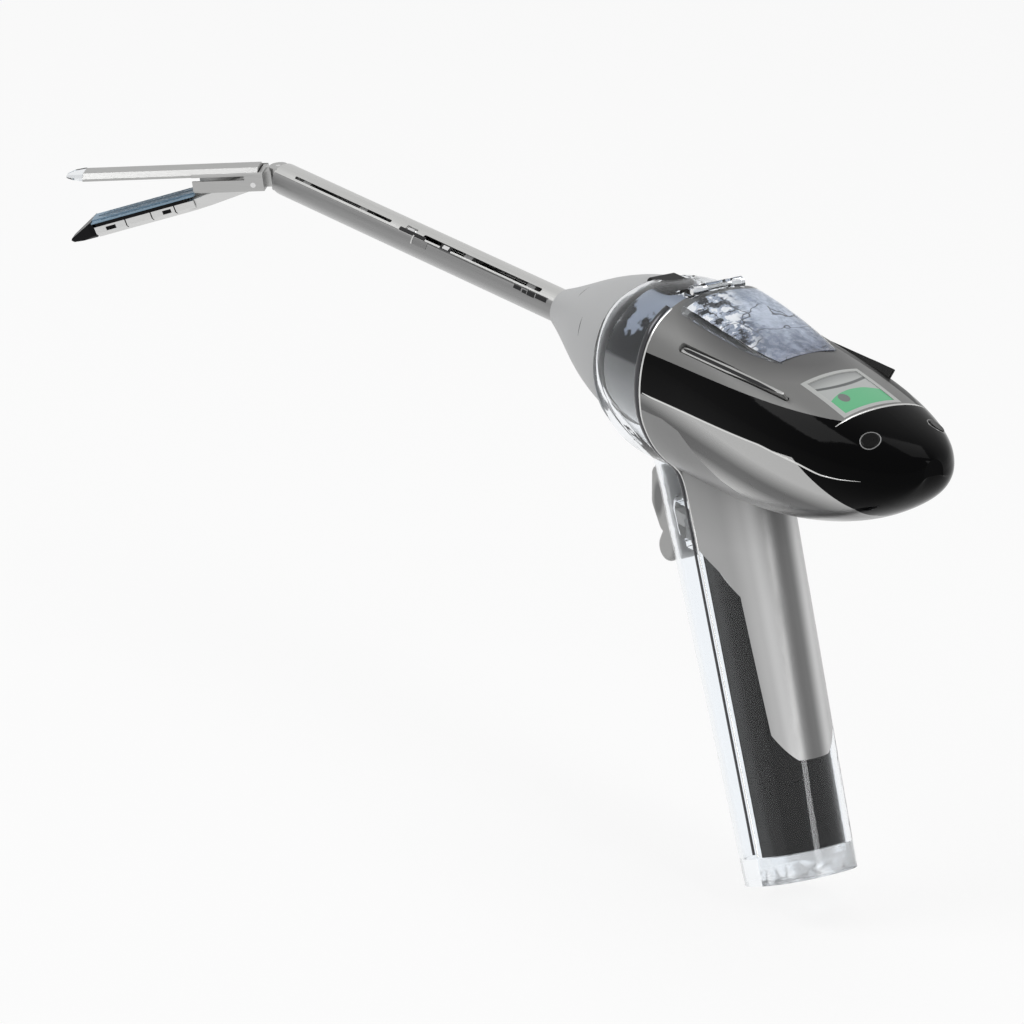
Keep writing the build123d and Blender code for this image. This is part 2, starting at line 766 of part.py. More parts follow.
nose_depth = 12.0
web_x = bearing_x - 3.5
web_thickness = 1.5
with BuildPart() as nose_cone:
    with BuildSketch(Plane.XZ):
        with BuildLine():
            Polyline((0, tail_d / 2), (0, cone_tip_r - 0.3), (1.0, cone_tip_r + 0.6))
            Spline((1.0, cone_tip_r + 0.6), (14.0, 12.6), (30.0, 19.2), (43.0, 23.5),
                   (cone_length, cone_base_r))
            Polyline((cone_length, cone_base_r), (cone_length, cone_base_r - cone_wall))
            Spline((cone_length, cone_base_r - cone_wall), (43.0, 23.5 - cone_wall), (30.0, 19.2 - cone_wall),
                   (nose_depth, 11.8 - cone_wall))
            Polyline((nose_depth, 11.8 - cone_wall), (nose_depth, tail_d / 2), (0, tail_d / 2))
        make_face()
    revolve(axis=Axis.X)
    with BuildSketch(Plane.YZ.offset(web_x)):
        Circle(cone_base_r - cone_wall - 0.5)
        Circle(hub_r, mode=Mode.SUBTRACT)
    extrude(amount=web_thickness)
    with BuildSketch(Plane.YZ.offset(web_x)):
        Circle(hub_r + 1.6)
        Circle(hub_r + running, mode=Mode.SUBTRACT)
    extrude(amount=bearing_x + bearing_width - web_x)
nose_cone.part.move(roll)
nose_cone.part.label = "nose_cone"
export_step(nose_cone.part, "parts/nose_cone.step")

# Adapter tube with its long slot on the near side and the bayonet notch for the reload
slot_plane = Plane(origin=(0, 0, 0), x_dir=(1, 0, 0),
                   z_dir=(0, -cos(radians(slot_deg)), sin(radians(slot_deg))))
notch_length = 7.0
notch_width = 3.0
tube_tail = web_x - 2.0
with BuildPart() as adapter_tube:
    with BuildSketch(Plane.YZ.offset(-shaft_length)):
        Circle(shaft_d / 2)
        Circle(shaft_bore / 2, mode=Mode.SUBTRACT)
    extrude(amount=shaft_length)
    with BuildSketch(Plane.YZ):
        Circle(tail_d / 2)
        Circle(shaft_bore / 2, mode=Mode.SUBTRACT)
    extrude(amount=tube_tail)
    with BuildSketch(slot_plane):
        with Locations((-shaft_length / 2 + 1.0, 0)):
            SlotOverall(shaft_length - 22.0, slot_width)
        with Locations((-shaft_length, 0)):
            Rectangle(notch_length * 2, notch_width)
    extrude(amount=shaft_d, mode=Mode.SUBTRACT)
adapter_tube.part.move(roll)
adapter_tube.part.label = "adapter_tube"
export_step(adapter_tube.part, "parts/adapter_tube.step")

collar_length = 20.0
with BuildPart() as reload_collar:
    with BuildSketch(Plane.YZ.offset(-shaft_length - collar_length / 2)):
        Circle(reload_bore / 2)
        Circle(reload_bore / 2 - 0.8, mode=Mode.SUBTRACT)
    extrude(amount=collar_length)
    with BuildSketch(slot_plane.offset(reload_bore / 2 - 0.6)):
        with Locations((-shaft_length + 3.0, 0)):
            Rectangle(4.0, 2.0)
    extrude(amount=shaft_d / 2 - reload_bore / 2 + 0.3)
reload_collar.part.move(roll)
reload_collar.part.label = "reload_collar"
export_step(reload_collar.part, "parts/reload_collar.step")

tube_front = pivot_x + tube_end_gap
with BuildPart() as reload_tube:
    with BuildSketch(Plane.YZ.offset(tube_front)):
        Circle(shaft_d / 2)
        Circle(reload_bore / 2, mode=Mode.SUBTRACT)
    extrude(amount=-shaft_length - tube_front)
    with BuildSketch(slot_plane):
        with Locations((tube_front + 46.0, 0)):
            SlotOverall(66.0, slot_width * 0.7)
    extrude(amount=shaft_d, mode=Mode.SUBTRACT)
reload_tube.part.move(roll)
reload_tube.part.label = "reload_tube"
export_step(reload_tube.part, "parts/reload_tube.step")

rod_front = pivot_x + 10.0
with BuildPart() as firing_rod:
    with BuildSketch(Plane.YZ.offset(rod_front)):
        Circle(firing_rod_d / 2)
    extrude(amount=tube_tail + 4.0 - rod_front)
firing_rod.part.move(roll)
firing_rod.part.label = "firing_rod"
export_step(firing_rod.part, "parts/firing_rod.step")

screw_x = tube_tail + 4.0
with BuildPart() as lead_screw:
    with BuildSketch(Plane.YZ.offset(screw_x)):
        Circle(2.6)
    extrude(amount=22.0)
    with BuildSketch(Plane.YZ.offset(screw_x + 1.0)):
        Circle(5.0)
    extrude(amount=6.0)
lead_screw.part.move(roll)
lead_screw.part.label = "lead_screw"
export_step(lead_screw.part, "parts/lead_screw.step")

with BuildPart() as rod_guides:
    for x in (pivot_x + 22.0, -130.0, -60.0, -20.0, 20.0):
        bore = reload_bore if x < -shaft_length else shaft_bore
        with BuildSketch(Plane.YZ.offset(x)):
            Circle(bore / 2)
            Circle(firing_rod_d / 2 + running, mode=Mode.SUBTRACT)
            with Locations((rod_offset, 0)):
                Circle(articulation_rod_d / 2 + 0.1, mode=Mode.SUBTRACT)
        extrude(amount=5.0)
rod_guides.part.move(roll)
rod_guides.part.label = "rod_guides"
export_step(rod_guides.part, "parts/rod_guides.step")

with BuildPart() as bend_link:
    with BuildSketch(Plane.YZ.offset(rod_front)):
        with Locations((rod_offset, 0)):
            Circle(articulation_rod_d / 2)
    extrude(amount=30.0 - rod_front)
bend_link.part.move(roll)
bend_link.part.label = "bend_link"
export_step(bend_link.part, "parts/bend_link.step")

# Clevis at the end of the reload tube: a plug in the tube with one ear above and one below
ear_low = knuckle_half + running
with BuildPart() as clevis:
    with BuildSketch(Plane.YZ.offset(tube_front)):
        Circle(reload_bore / 2)
        Circle(reload_bore / 2 - 0.8, mode=Mode.SUBTRACT)
    extrude(amount=8.0)
    for side in (-1, 1):
        low = ear_low if side > 0 else -ear_low - ear_thickness
        with BuildSketch(Plane.XY.offset(low)):
            with Locations((pivot_x, 0)):
                Circle(knuckle_r)
            with Locations((pivot_x + tube_end_gap / 2 + 2.0, 0)):
                Rectangle(tube_end_gap + 4.0, 4.8)
            with Locations((pivot_x, 0)):
                Circle(pin_r + running, mode=Mode.SUBTRACT)
        extrude(amount=ear_thickness)
clevis.part.move(roll)
clevis.part.label = "clevis"
export_step(clevis.part, "parts/clevis.step")

# Tool: bent about the articulation pin; the jaw below it is opened about its own pin
bend = Pos(pivot_x, 0, 0) * Rot(0, 0, bend_deg) * Pos(-pivot_x, 0, 0)
jaw_x = pivot_x - jaw_hinge_d
opening = Pos(jaw_x, 0, jaw_hinge_z) * Rot(0, -jaw_opening_deg, 0) * Pos(-jaw_x, 0, -jaw_hinge_z)
tool_place = roll * bend
jaw_place = roll * bend * opening


def ahead(distance):
    """The x of a point the given distance in front of the articulation pin."""
    return pivot_x - distance


block_half_width = 5.4
block_top = 5.1
block_bottom = -5.2
with BuildPart() as tool_knuckle:
    with BuildSketch(Plane.XY.offset(-knuckle_half)):
        with Locations((pivot_x, 0)):
            Circle(knuckle_r)
        with Locations((ahead((block_start + 1.6) / 2), 0)):
            Rectangle(block_start + 1.6, 4.4)
        with Locations((pivot_x, 0)):
            Circle(pin_r, mode=Mode.SUBTRACT)
    extrude(amount=2 * knuckle_half)
    with BuildSketch(Plane.YZ.offset(ahead(block_start + 1.6))):
        with Locations((0, 0)):
            Rectangle(2 * (block_half_width - plate_thickness), 2 * knuckle_half + 1.0)
    extrude(amount=1.6)
tool_knuckle.part.move(tool_place)
tool_knuckle.part.label = "tool_knuckle"
export_step(tool_knuckle.part, "parts/tool_knuckle.step")

with BuildPart() as bend_pin:
    with BuildSketch(Plane.XY.offset(-ear_low - ear_thickness)):
        with Locations((pivot_x, 0)):
            Circle(pin_r)
    extrude(amount=2 * (ear_low + ear_thickness))
bend_pin.part.move(tool_place)
bend_pin.part.label = "bend_pin"
export_step(bend_pin.part, "parts/bend_pin.step")

window_rear = 12.0
plate_edge = 1.1
with BuildPart() as side_plates:
    with BuildSketch(Plane.XZ):
        with BuildLine():
            Polyline(
                (ahead(block_start), block_top - 1.2), (ahead(block_start), block_bottom + 1.4),
                (ahead(block_start + 2.0), block_bottom), (ahead(window_rear), block_bottom),
                (ahead(block_end), block_bottom + 1.7), (ahead(block_end), plate_edge),
                (ahead(window_rear), plate_edge), (ahead(window_rear), anvil_bottom + 0.1),
                (ahead(block_end), anvil_bottom + 0.1), (ahead(block_end), anvil_top - 0.6),
                (ahead(block_start + 1.0), block_top), close=True)
        make_face()
    extrude(amount=block_half_width, both=True)
    with BuildSketch(Plane.XZ):
        with Locations((ahead((block_start + block_end) / 2 + 1.0), 0)):
            Rectangle(block_end - block_start + 2.0, 40.0)
    extrude(amount=block_half_width - plate_thickness, both=True, mode=Mode.SUBTRACT)
    with BuildSketch(Plane.XZ):
        with Locations((jaw_x, jaw_hinge_z)):
            Circle(pin_r)
    extrude(amount=block_half_width, both=True, mode=Mode.SUBTRACT)
    with BuildSketch(Plane.YZ.offset(ahead(block_end))):
        Circle(passage_r)
    extrude(amount=block_end, mode=Mode.INTERSECT)
side_plates.part.move(tool_place)
side_plates.part.label = "side_plates"
export_step(side_plates.part, "parts/side_plates.step")

with BuildPart() as jaw_pin:
    with BuildSketch(Plane.XZ):
        with Locations((jaw_x, jaw_hinge_z)):
            Circle(pin_r)
    extrude(amount=block_half_width, both=True)
jaw_pin.part.move(tool_place)
jaw_pin.part.label = "jaw_pin"
export_step(jaw_pin.part, "parts/jaw_pin.step")

# Anvil: a thin crowned bar, slotted for the knife, its rear end held between the plates
anvil_rear_half = block_half_width - plate_thickness
anvil_rear_d = block_start + 2.0
anvil_end = tool_length - tip_length
anvil_edge = 0.9
pocket_depth = 0.25


def anvil_outline(half_width):
    """Half of the anvil's cross-section mirrored into one closed outline."""
    flat = min(anvil_flat / 2, half_width - 0.6)
    Polyline(
        (-half_width, anvil_bottom), (half_width, anvil_bottom), (half_width, anvil_bottom + anvil_edge),
        (flat, anvil_top), (-flat, anvil_top), (-half_width, anvil_bottom + anvil_edge), close=True)


with BuildPart() as anvil:
    with BuildSketch(Plane.YZ.offset(ahead(anvil_end))):
        with BuildLine():
            anvil_outline(anvil_width / 2)
        make_face()
    extrude(amount=anvil_end - block_end - gap)
    with BuildSketch(Plane.YZ.offset(ahead(block_end + gap))):
        with BuildLine():
            anvil_outline(anvil_rear_half)
        make_face()
    extrude(amount=block_end + gap - anvil_rear_d)
    with BuildSketch(Plane.YZ.offset(ahead(anvil_end - 3.0))):
        with Locations((0, anvil_bottom)):
            Rectangle(knife_slot, 2.6)
        with Locations((0, anvil_bottom + 1.25)):
            Rectangle(3.2, 0.7)
    extrude(amount=anvil_end - anvil_rear_d, mode=Mode.SUBTRACT)
    with BuildSketch(Plane.XY.offset(anvil_bottom)):
        with Locations((ahead((cartridge_start + anvil_end) / 2), 0)):
            with GridLocations(staple_pitch, anvil_width * 0.62, 9, 2):
                Rectangle(staple_crown, 1.9)
    extrude(amount=pocket_depth, mode=Mode.SUBTRACT)
anvil.part.move(tool_place)
anvil.part.label = "anvil"
export_step(anvil.part, "parts/anvil.step")

with BuildPart() as anvil_tip:
    tip_root = (anvil_end, anvil_width / 2 - 0.1, anvil_top - 0.1, anvil_bottom + 0.1)
    tip_middle = (anvil_end + tip_length * 0.6, 3.4, anvil_top - 0.4, anvil_bottom + 0.3)
    tip_point = (tool_length, 1.5, anvil_top - 1.2, anvil_bottom + 0.5)
    for distance, half_width, top, low in (tip_root, tip_middle, tip_point):
        with BuildSketch(Plane.YZ.offset(ahead(distance))):
            with BuildLine():
                Polyline((-half_width, low), (half_width, low), (half_width * 0.8, top),
                         (-half_width * 0.8, top), close=True)
            make_face()
    loft(ruled=True)
    with BuildSketch(Plane.YZ.offset(ahead(tool_length + 1.0))):
        Circle(passage_r)
    extrude(amount=tip_length + 2.0, mode=Mode.INTERSECT)
anvil_tip.part.move(tool_place)
anvil_tip.part.label = "anvil_tip"
export_step(anvil_tip.part, "parts/anvil_tip.step")

# Jaw: a steel channel with a narrower tail on the jaw pin
tail_end = block_end + 1.5
channel_end = cartridge_end + 1.0
channel_half = channel_width / 2
tail_half = tail_width / 2
with BuildPart() as cartridge_channel:
    with BuildSketch(Plane.YZ.offset(ahead(channel_end))):
        with BuildLine():
            Polyline(
                (-channel_half, channel_lip), (-channel_half, channel_bottom + 2.1),
                (-channel_half + 2.3, channel_bottom), (channel_half - 2.3, channel_bottom),
                (channel_half, channel_bottom + 2.1), (channel_half, channel_lip), close=True)
        make_face()
        with BuildLine():
            Polyline(
                (-channel_half + channel_wall, deck_z), (-channel_half + channel_wall, channel_bottom + 2.4),
                (-channel_half + 2.6, channel_bottom + channel_wall),
                (channel_half - 2.6, channel_bottom + channel_wall),
                (channel_half - channel_wall, channel_bottom + 2.4),
                (channel_half - channel_wall, deck_z), close=True)
        make_face(mode=Mode.SUBTRACT)
    extrude(amount=channel_end - tail_end)
    with BuildSketch(Plane.XZ):
        with BuildLine():
            Polyline(
                (ahead(tail_end + 3.0), channel_lip), (ahead(tail_end + 3.0), channel_bottom + 0.2),
                (ahead(tail_end), channel_bottom + 0.2), (jaw_x, jaw_hinge_z - 2.2),
                (jaw_x + 2.0, jaw_hinge_z - 1.2),
                (jaw_x + 2.0, jaw_hinge_z + 1.2), (jaw_x, jaw_hinge_z + 2.0),
                (ahead(tail_end), channel_lip), close=True)
        make_face()
    extrude(amount=tail_half, both=True)
    with BuildSketch(Plane.XZ):
        with Locations((ahead(tail_end / 2), channel_bottom + channel_wall + 10.0)):
            Rectangle(tail_end + 30.0, 20.0)
    extrude(amount=tail_half - 1.0, both=True, mode=Mode.SUBTRACT)
    with BuildSketch(Plane.XY.offset(channel_bottom - 1.0)):
        with Locations((ahead(20.0), 0)):
            Rectangle(40.0, 3.6)
    extrude(amount=6.0, mode=Mode.SUBTRACT)
    with BuildSketch(Plane.XZ):
        with Locations((jaw_x, jaw_hinge_z)):
            Circle(pin_r + running)
        for window_d, length in ((44.7, 3.4), (67.6, 4.0)):
            with Locations((ahead(window_d), channel_bottom + 3.1)):
                Rectangle(length, 1.5)
        for slit_d in (41.4, 51.0, 61.4):
            with Locations((ahead(slit_d), channel_bottom + 3.6)):
                Rectangle(0.45, 5.0)
    extrude(amount=20.0, both=True, mode=Mode.SUBTRACT)
    with BuildSketch(Plane.XY.offset(channel_bottom - 1.0)):
        with Locations((ahead((tail_end + channel_end) / 2 + 2.0), 0)):
            SlotOverall(channel_end - tail_end - 10.0, 1.6)
    extrude(amount=3.0, mode=Mode.SUBTRACT)
    with BuildSketch(Plane.YZ.offset(ahead(channel_end + 1.0))):
        Circle(passage_r)
    extrude(amount=channel_end + 10.0, mode=Mode.INTERSECT)
cartridge_channel.part.move(jaw_place)
cartridge_channel.part.label = "cartridge_channel"
export_step(cartridge_channel.part, "parts/cartridge_channel.step")

# Cartridge: black body in the channel, deck with its staple slots, and the blunt nose
body_half = channel_half - channel_wall
body_low = channel_bottom + channel_wall
body_top = 0.8
body_rear = tail_end + 3.3
deck_half = channel_half + 0.35
with BuildPart() as cartridge_body:
    with BuildSketch(Plane.YZ.offset(ahead(cartridge_end))):
        with BuildLine():
            right_side = [
                (channel_half - 2.6, body_low), (body_half, channel_bottom + 2.4),
                (body_half, channel_lip + 0.1),
                (deck_half - 0.1, channel_lip + 0.1), (deck_half - 0.1, body_top),
            ]
            left_side = [(-across, height) for across, height in right_side[::-1]]
            Polyline(*right_side, *left_side, close=True)
        make_face()
    extrude(amount=cartridge_end - body_rear)
    with BuildSketch(Plane.YZ.offset(ahead(cartridge_end - 1.5))):
        with Locations((0, 0)):
            Rectangle(knife_slot + 0.2, 12.0)
        for side in (-1, 1):
            with Locations((side * 2.3, body_low + 1.6)):
                Rectangle(2.4, 3.6)
        with Locations((0, body_low)):
            Rectangle(6.8, 2.6)
    extrude(amount=cartridge_end, mode=Mode.SUBTRACT)
    with BuildSketch(Plane.XY.offset(body_top)):
        for side in (-1, 1):
            with Locations((ahead((body_rear + cartridge_end - 1.5) / 2), side * 2.45)):
                Rectangle(cartridge_end - 1.5 - body_rear, 3.1)
    extrude(amount=-1.1, mode=Mode.SUBTRACT)
cartridge_body.part.move(jaw_place)
cartridge_body.part.label = "cartridge_body"
export_step(cartridge_body.part, "parts/cartridge_body.step")

deck_start = tail_end - 1.0
deck_step = 3.3
staple_count = int((cartridge_end - deck_start - 6.0) / staple_pitch)
staple_mid_d = (deck_start + cartridge_end) / 2 + 0.5


def staple_places():
    """Three staggered rows on each side of the knife slot."""
    places = []
    for side in (-1, 1):
        for row in range(staple_rows // 2):
            across = side * (1.35 + row * row_spacing)
            shift = staple_pitch / 2 if row % 2 else 0.0
            for i in range(staple_count):
                along = (i - (staple_count - 1) / 2) * staple_pitch + shift - staple_pitch / 4
                places.append((ahead(staple_mid_d) + along, across))
    return places


with BuildPart() as staple_deck:
    with BuildSketch(Plane.YZ.offset(ahead(cartridge_end + 1.5))):
        with BuildLine():
            Polyline(
                (-deck_half, body_top), (deck_half, body_top), (deck_half, body_top + 0.4),
                (deck_step, body_top + 0.6),
                (deck_step, deck_z), (-deck_step, deck_z), (-deck_step, body_top + 0.6),
                (-deck_half, body_top + 0.4), close=True)
        make_face()
    extrude(amount=cartridge_end + 1.5 - deck_start)
    with BuildSketch(Plane.XY.offset(-1.0)):
        with Locations(*staple_places()):
            Rectangle(staple_crown + 0.5, 0.55)
        with Locations((ahead(deck_start + 19.0), 0)):
            Rectangle(42.0, knife_slot)
    extrude(amount=5.0, mode=Mode.SUBTRACT)
staple_deck.part.move(jaw_place)
staple_deck.part.label = "staple_deck"
export_step(staple_deck.part, "parts/staple_deck.step")

nose_end = tool_length + 4.5
with BuildPart() as cartridge_nose:
    with BuildSketch(Plane.XZ):
        with BuildLine():
            Polyline(
                (ahead(cartridge_end + 1.5), deck_z - 0.1), (ahead(cartridge_end + 1.5),
                                                             channel_bottom + 0.3),
                (ahead(nose_end - 1.0), channel_bottom + 0.5), (ahead(nose_end), channel_bottom + 1.3),
                (ahead(nose_end - 0.6), channel_bottom + 2.1),
                close=True)
        make_face()
    extrude(amount=channel_half - 0.4, both=True)
    with BuildSketch(Plane.XY.offset(-10.0)):
        with BuildLine():
            Polyline((ahead(cartridge_end), -6.0), (ahead(cartridge_end), 6.0),
                     (ahead(cartridge_end + 3.0), 4.6),
                     (ahead(nose_end), 2.0), (ahead(nose_end), -2.0), (ahead(cartridge_end + 3.0), -4.6),
                     close=True)
        make_face()
    extrude(amount=20.0, mode=Mode.INTERSECT)
    with BuildSketch(Plane.YZ.offset(ahead(nose_end + 1.0))):
        Circle(passage_r)
    extrude(amount=20.0, mode=Mode.INTERSECT)
cartridge_nose.part.move(jaw_place)
cartridge_nose.part.label = "cartridge_nose"
export_step(cartridge_nose.part, "parts/cartridge_nose.step")

staple_leg = 1.1
staple_low = deck_z - 2.0
with BuildPart() as staples:
    with BuildSketch(Plane.XY.offset(staple_low)):
        with Locations(*staple_places()):
            Rectangle(staple_crown, wire)
    extrude(amount=wire)
    with BuildSketch(Plane.XY.offset(staple_low + wire)):
        for x, y in staple_places():
            with Locations((x - (staple_crown - wire) / 2, y), (x + (staple_crown - wire) / 2, y)):
                Rectangle(wire, wire)
    extrude(amount=staple_leg)
staples.part.move(jaw_place)
staples.part.label = "staples"
export_step(staples.part, "parts/staples.step")

# Sled: two wedges on a foot, running in the grooves of the cartridge
sled_start = tail_end + 3.4
sled_length = 7.0
sled_low = body_low + 0.35
with BuildPart() as sled:
    for side in (-1, 1):
        with BuildSketch(Plane.XZ.offset(-side * 1.9)):
            with BuildLine():
                Polyline(
                    (ahead(sled_start), sled_low), (ahead(sled_start), sled_low + 2.8),
                    (ahead(sled_start + 2.0), sled_low + 2.8), (ahead(sled_start + sled_length), sled_low),
                    close=True)
            make_face()
        extrude(amount=0.6, both=True)
    with BuildSketch(Plane.XY.offset(sled_low - 0.1)):
        with Locations((ahead(sled_start + sled_length / 2), 0)):
            Rectangle(sled_length, 4.6)
    extrude(amount=0.8)
sled.part.move(jaw_place)
sled.part.label = "sled"
export_step(sled.part, "parts/sled.step")

# Drive beam: web with the knife edge, and a flange that runs in the slot of the anvil
beam_rear_d = anvil_rear_d + 6.0
beam_front_d = 22.0
beam_low = jaw_hinge_z + 2.2
with BuildPart() as drive_beam:
    with BuildSketch(Plane.XZ):
        with BuildLine():
            Polyline(
                (ahead(beam_rear_d), beam_low), (ahead(beam_rear_d), anvil_bottom + 1.2),
                (ahead(beam_front_d - 1.5), anvil_bottom + 1.2), (ahead(beam_front_d), anvil_bottom + 0.2),
                (ahead(beam_front_d - 2.0), beam_low), close=True)
        make_face()
    extrude(amount=knife_slot / 2 - running, both=True)
    with BuildSketch(Plane.YZ.offset(ahead(beam_front_d - 1.0))):
        with Locations((0, anvil_bottom + 1.25)):
            Rectangle(2.8, 0.5)
    extrude(amount=beam_front_d - 1.0 - beam_rear_d)
drive_beam.part.move(tool_place)
drive_beam.part.label = "drive_beam"
export_step(drive_beam.part, "parts/drive_beam.step")
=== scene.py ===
from math import cos, pi, radians, sin

import bmesh
import bpy
import numpy as np
from mathutils import Matrix, Vector
from mathutils.bvhtree import BVHTree


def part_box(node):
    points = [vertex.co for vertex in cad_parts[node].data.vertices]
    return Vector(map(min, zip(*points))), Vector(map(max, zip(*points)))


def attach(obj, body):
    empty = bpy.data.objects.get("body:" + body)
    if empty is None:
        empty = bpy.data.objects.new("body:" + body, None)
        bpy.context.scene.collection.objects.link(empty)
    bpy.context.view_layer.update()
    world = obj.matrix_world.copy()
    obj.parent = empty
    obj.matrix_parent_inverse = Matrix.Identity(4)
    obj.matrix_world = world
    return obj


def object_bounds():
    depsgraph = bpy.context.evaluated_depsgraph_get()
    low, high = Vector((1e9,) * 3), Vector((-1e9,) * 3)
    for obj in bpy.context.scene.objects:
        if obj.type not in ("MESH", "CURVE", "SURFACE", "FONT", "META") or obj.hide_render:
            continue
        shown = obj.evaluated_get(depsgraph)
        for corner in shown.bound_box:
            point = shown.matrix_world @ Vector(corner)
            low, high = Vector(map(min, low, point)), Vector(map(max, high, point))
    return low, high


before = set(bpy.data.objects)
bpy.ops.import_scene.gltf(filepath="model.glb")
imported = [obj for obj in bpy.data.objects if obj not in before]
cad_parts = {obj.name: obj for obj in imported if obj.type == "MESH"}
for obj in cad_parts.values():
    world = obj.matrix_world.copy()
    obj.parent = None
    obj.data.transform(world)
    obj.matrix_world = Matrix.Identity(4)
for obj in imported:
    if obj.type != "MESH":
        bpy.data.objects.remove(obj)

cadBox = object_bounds()
mm = 0.001
print("stage: frame loaded,", len(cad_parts), "nodes")


def newGroup(name, inputs, outputs):
    # an empty shader group with named value, colour and vector sockets
    group = bpy.data.node_groups.new(name, "ShaderNodeTree")
    for socketName, kind, value in inputs:
        socket = group.interface.new_socket(socketName, in_out="INPUT", socket_type=kind)
        if value is not None:
            socket.default_value = value
    for socketName, kind in outputs:
        group.interface.new_socket(socketName, in_out="OUTPUT", socket_type=kind)
    return group, group.nodes.new("NodeGroupInput"), group.nodes.new("NodeGroupOutput")


def calc(tree, operation, a, b=None, c=None):
    # one math step; a, b and c are sockets or plain numbers
    node = tree.nodes.new("ShaderNodeMath")
    node.operation = operation
    for slot, value in zip(node.inputs, (a, b, c)):
        if value is None:
            continue
        if isinstance(value, (int, float)):
            slot.default_value = value
        else:
            tree.links.new(value, slot)
    return node.outputs[0]


def noiseOn(tree, vector, scale, detail=4.0, rough=0.55):
    # fractal noise on a vector, scale as a number or a socket
    node = tree.nodes.new("ShaderNodeTexNoise")
    tree.links.new(vector, node.inputs["Vector"])
    if isinstance(scale, (int, float)):
        node.inputs["Scale"].default_value = scale
    else:
        tree.links.new(scale, node.inputs["Scale"])
    node.inputs["Detail"].default_value = detail
    node.inputs["Roughness"].default_value = rough
    return node.outputs["Fac"]


def cellsOn(tree, vector, scale, feature="F1"):
    # random cells on a vector: the distance and colour of each, or the distance to their edges
    node = tree.nodes.new("ShaderNodeTexVoronoi")
    node.feature = feature
    node.inputs["Scale"].default_value = scale
    tree.links.new(vector, node.inputs["Vector"])
    return node.outputs


grainLook = {"coarse": 160.0, "coarseShare": 0.25, "broad": 28.0}


def makeMouldGrain():
    # moulded plastic: height = fine noise + a share of a coarser one; tone = broad noise about 1
    tree, given, result = newGroup(
        "mouldGrain",
        [("Vector", "NodeSocketVector", None), ("Scale", "NodeSocketFloat", 2600.0),
         ("Tone", "NodeSocketFloat", 0.05)],
        [("Height", "NodeSocketFloat"), ("Tone", "NodeSocketFloat")])
    fine = noiseOn(tree, given.outputs["Vector"], given.outputs["Scale"], 3.0)
    coarse = noiseOn(tree, given.outputs["Vector"], grainLook["coarse"], 3.0)
    softened = calc(tree, "MULTIPLY", coarse, grainLook["coarseShare"])
    tree.links.new(calc(tree, "ADD", fine, softened), result.inputs["Height"])
    broad = noiseOn(tree, given.outputs["Vector"], grainLook["broad"], 5.0)
    shift = calc(tree, "SUBTRACT", broad, 0.5)
    spread = calc(tree, "MULTIPLY", shift, given.outputs["Tone"])
    tree.links.new(calc(tree, "ADD", spread, 1.0), result.inputs["Tone"])
    return tree


def makeBrushGrain():
    # brushed metal: noise squeezed across the brushing direction, which the caller turns onto x
    tree, given, result = newGroup(
        "brushGrain",
        [("Vector", "NodeSocketVector", None), ("Across", "NodeSocketFloat", 5200.0),
         ("Along", "NodeSocketFloat", 60.0)],
        [("Height", "NodeSocketFloat"), ("Streak", "NodeSocketFloat")])
    stretch = tree.nodes.new("ShaderNodeCombineXYZ")
    tree.links.new(given.outputs["Along"], stretch.inputs[0])
    tree.links.new(given.outputs["Across"], stretch.inputs[1])
    tree.links.new(given.outputs["Across"], stretch.inputs[2])
    scaled = tree.nodes.new("ShaderNodeVectorMath")
    scaled.operation = "MULTIPLY"
    tree.links.new(given.outputs["Vector"], scaled.inputs[0])
    tree.links.new(stretch.outputs[0], scaled.inputs[1])
    lines = noiseOn(tree, scaled.outputs[0], 1.0, 3.0, 0.6)
    tree.links.new(lines, result.inputs["Height"])
    tree.links.new(noiseOn(tree, scaled.outputs[0], 0.35, 2.0), result.inputs["Streak"])
    return tree


markLook = {"smudge": 42.0, "smudgeFrom": 0.46, "smudgeGain": 3.0, "scratch": 55.0, "stretch": (1.0, 5.0, 3.0),
            "width": 0.004, "scratchFrom": 0.56}


def makeHandling():
    # handling marks: soft smudges where a broad noise is high, plus a few fine scratches
    tree, given, result = newGroup(
        "handling",
        [("Vector", "NodeSocketVector", None), ("Amount", "NodeSocketFloat", 0.1)],
        [("Smudge", "NodeSocketFloat"), ("Scratch", "NodeSocketFloat")])
    broad = noiseOn(tree, given.outputs["Vector"], markLook["smudge"], 5.0, 0.6)
    lift = calc(tree, "SUBTRACT", broad, markLook["smudgeFrom"])
    spread = calc(tree, "MAXIMUM", calc(tree, "MULTIPLY", lift, markLook["smudgeGain"]), 0.0)
    tree.links.new(calc(tree, "MULTIPLY", spread, given.outputs["Amount"]), result.inputs["Smudge"])
    stretched = tree.nodes.new("ShaderNodeVectorMath")
    stretched.operation = "MULTIPLY"
    stretched.inputs[1].default_value = markLook["stretch"]
    tree.links.new(given.outputs["Vector"], stretched.inputs[0])
    edges = cellsOn(tree, stretched.outputs[0], markLook["scratch"], "DISTANCE_TO_EDGE")
    thin = calc(tree, "LESS_THAN", edges["Distance"], markLook["width"])
    gaps = calc(tree, "GREATER_THAN", broad, markLook["scratchFrom"])
    kept = calc(tree, "MULTIPLY", thin, gaps)
    tree.links.new(calc(tree, "MULTIPLY", kept, given.outputs["Amount"]), result.inputs["Scratch"])
    return tree


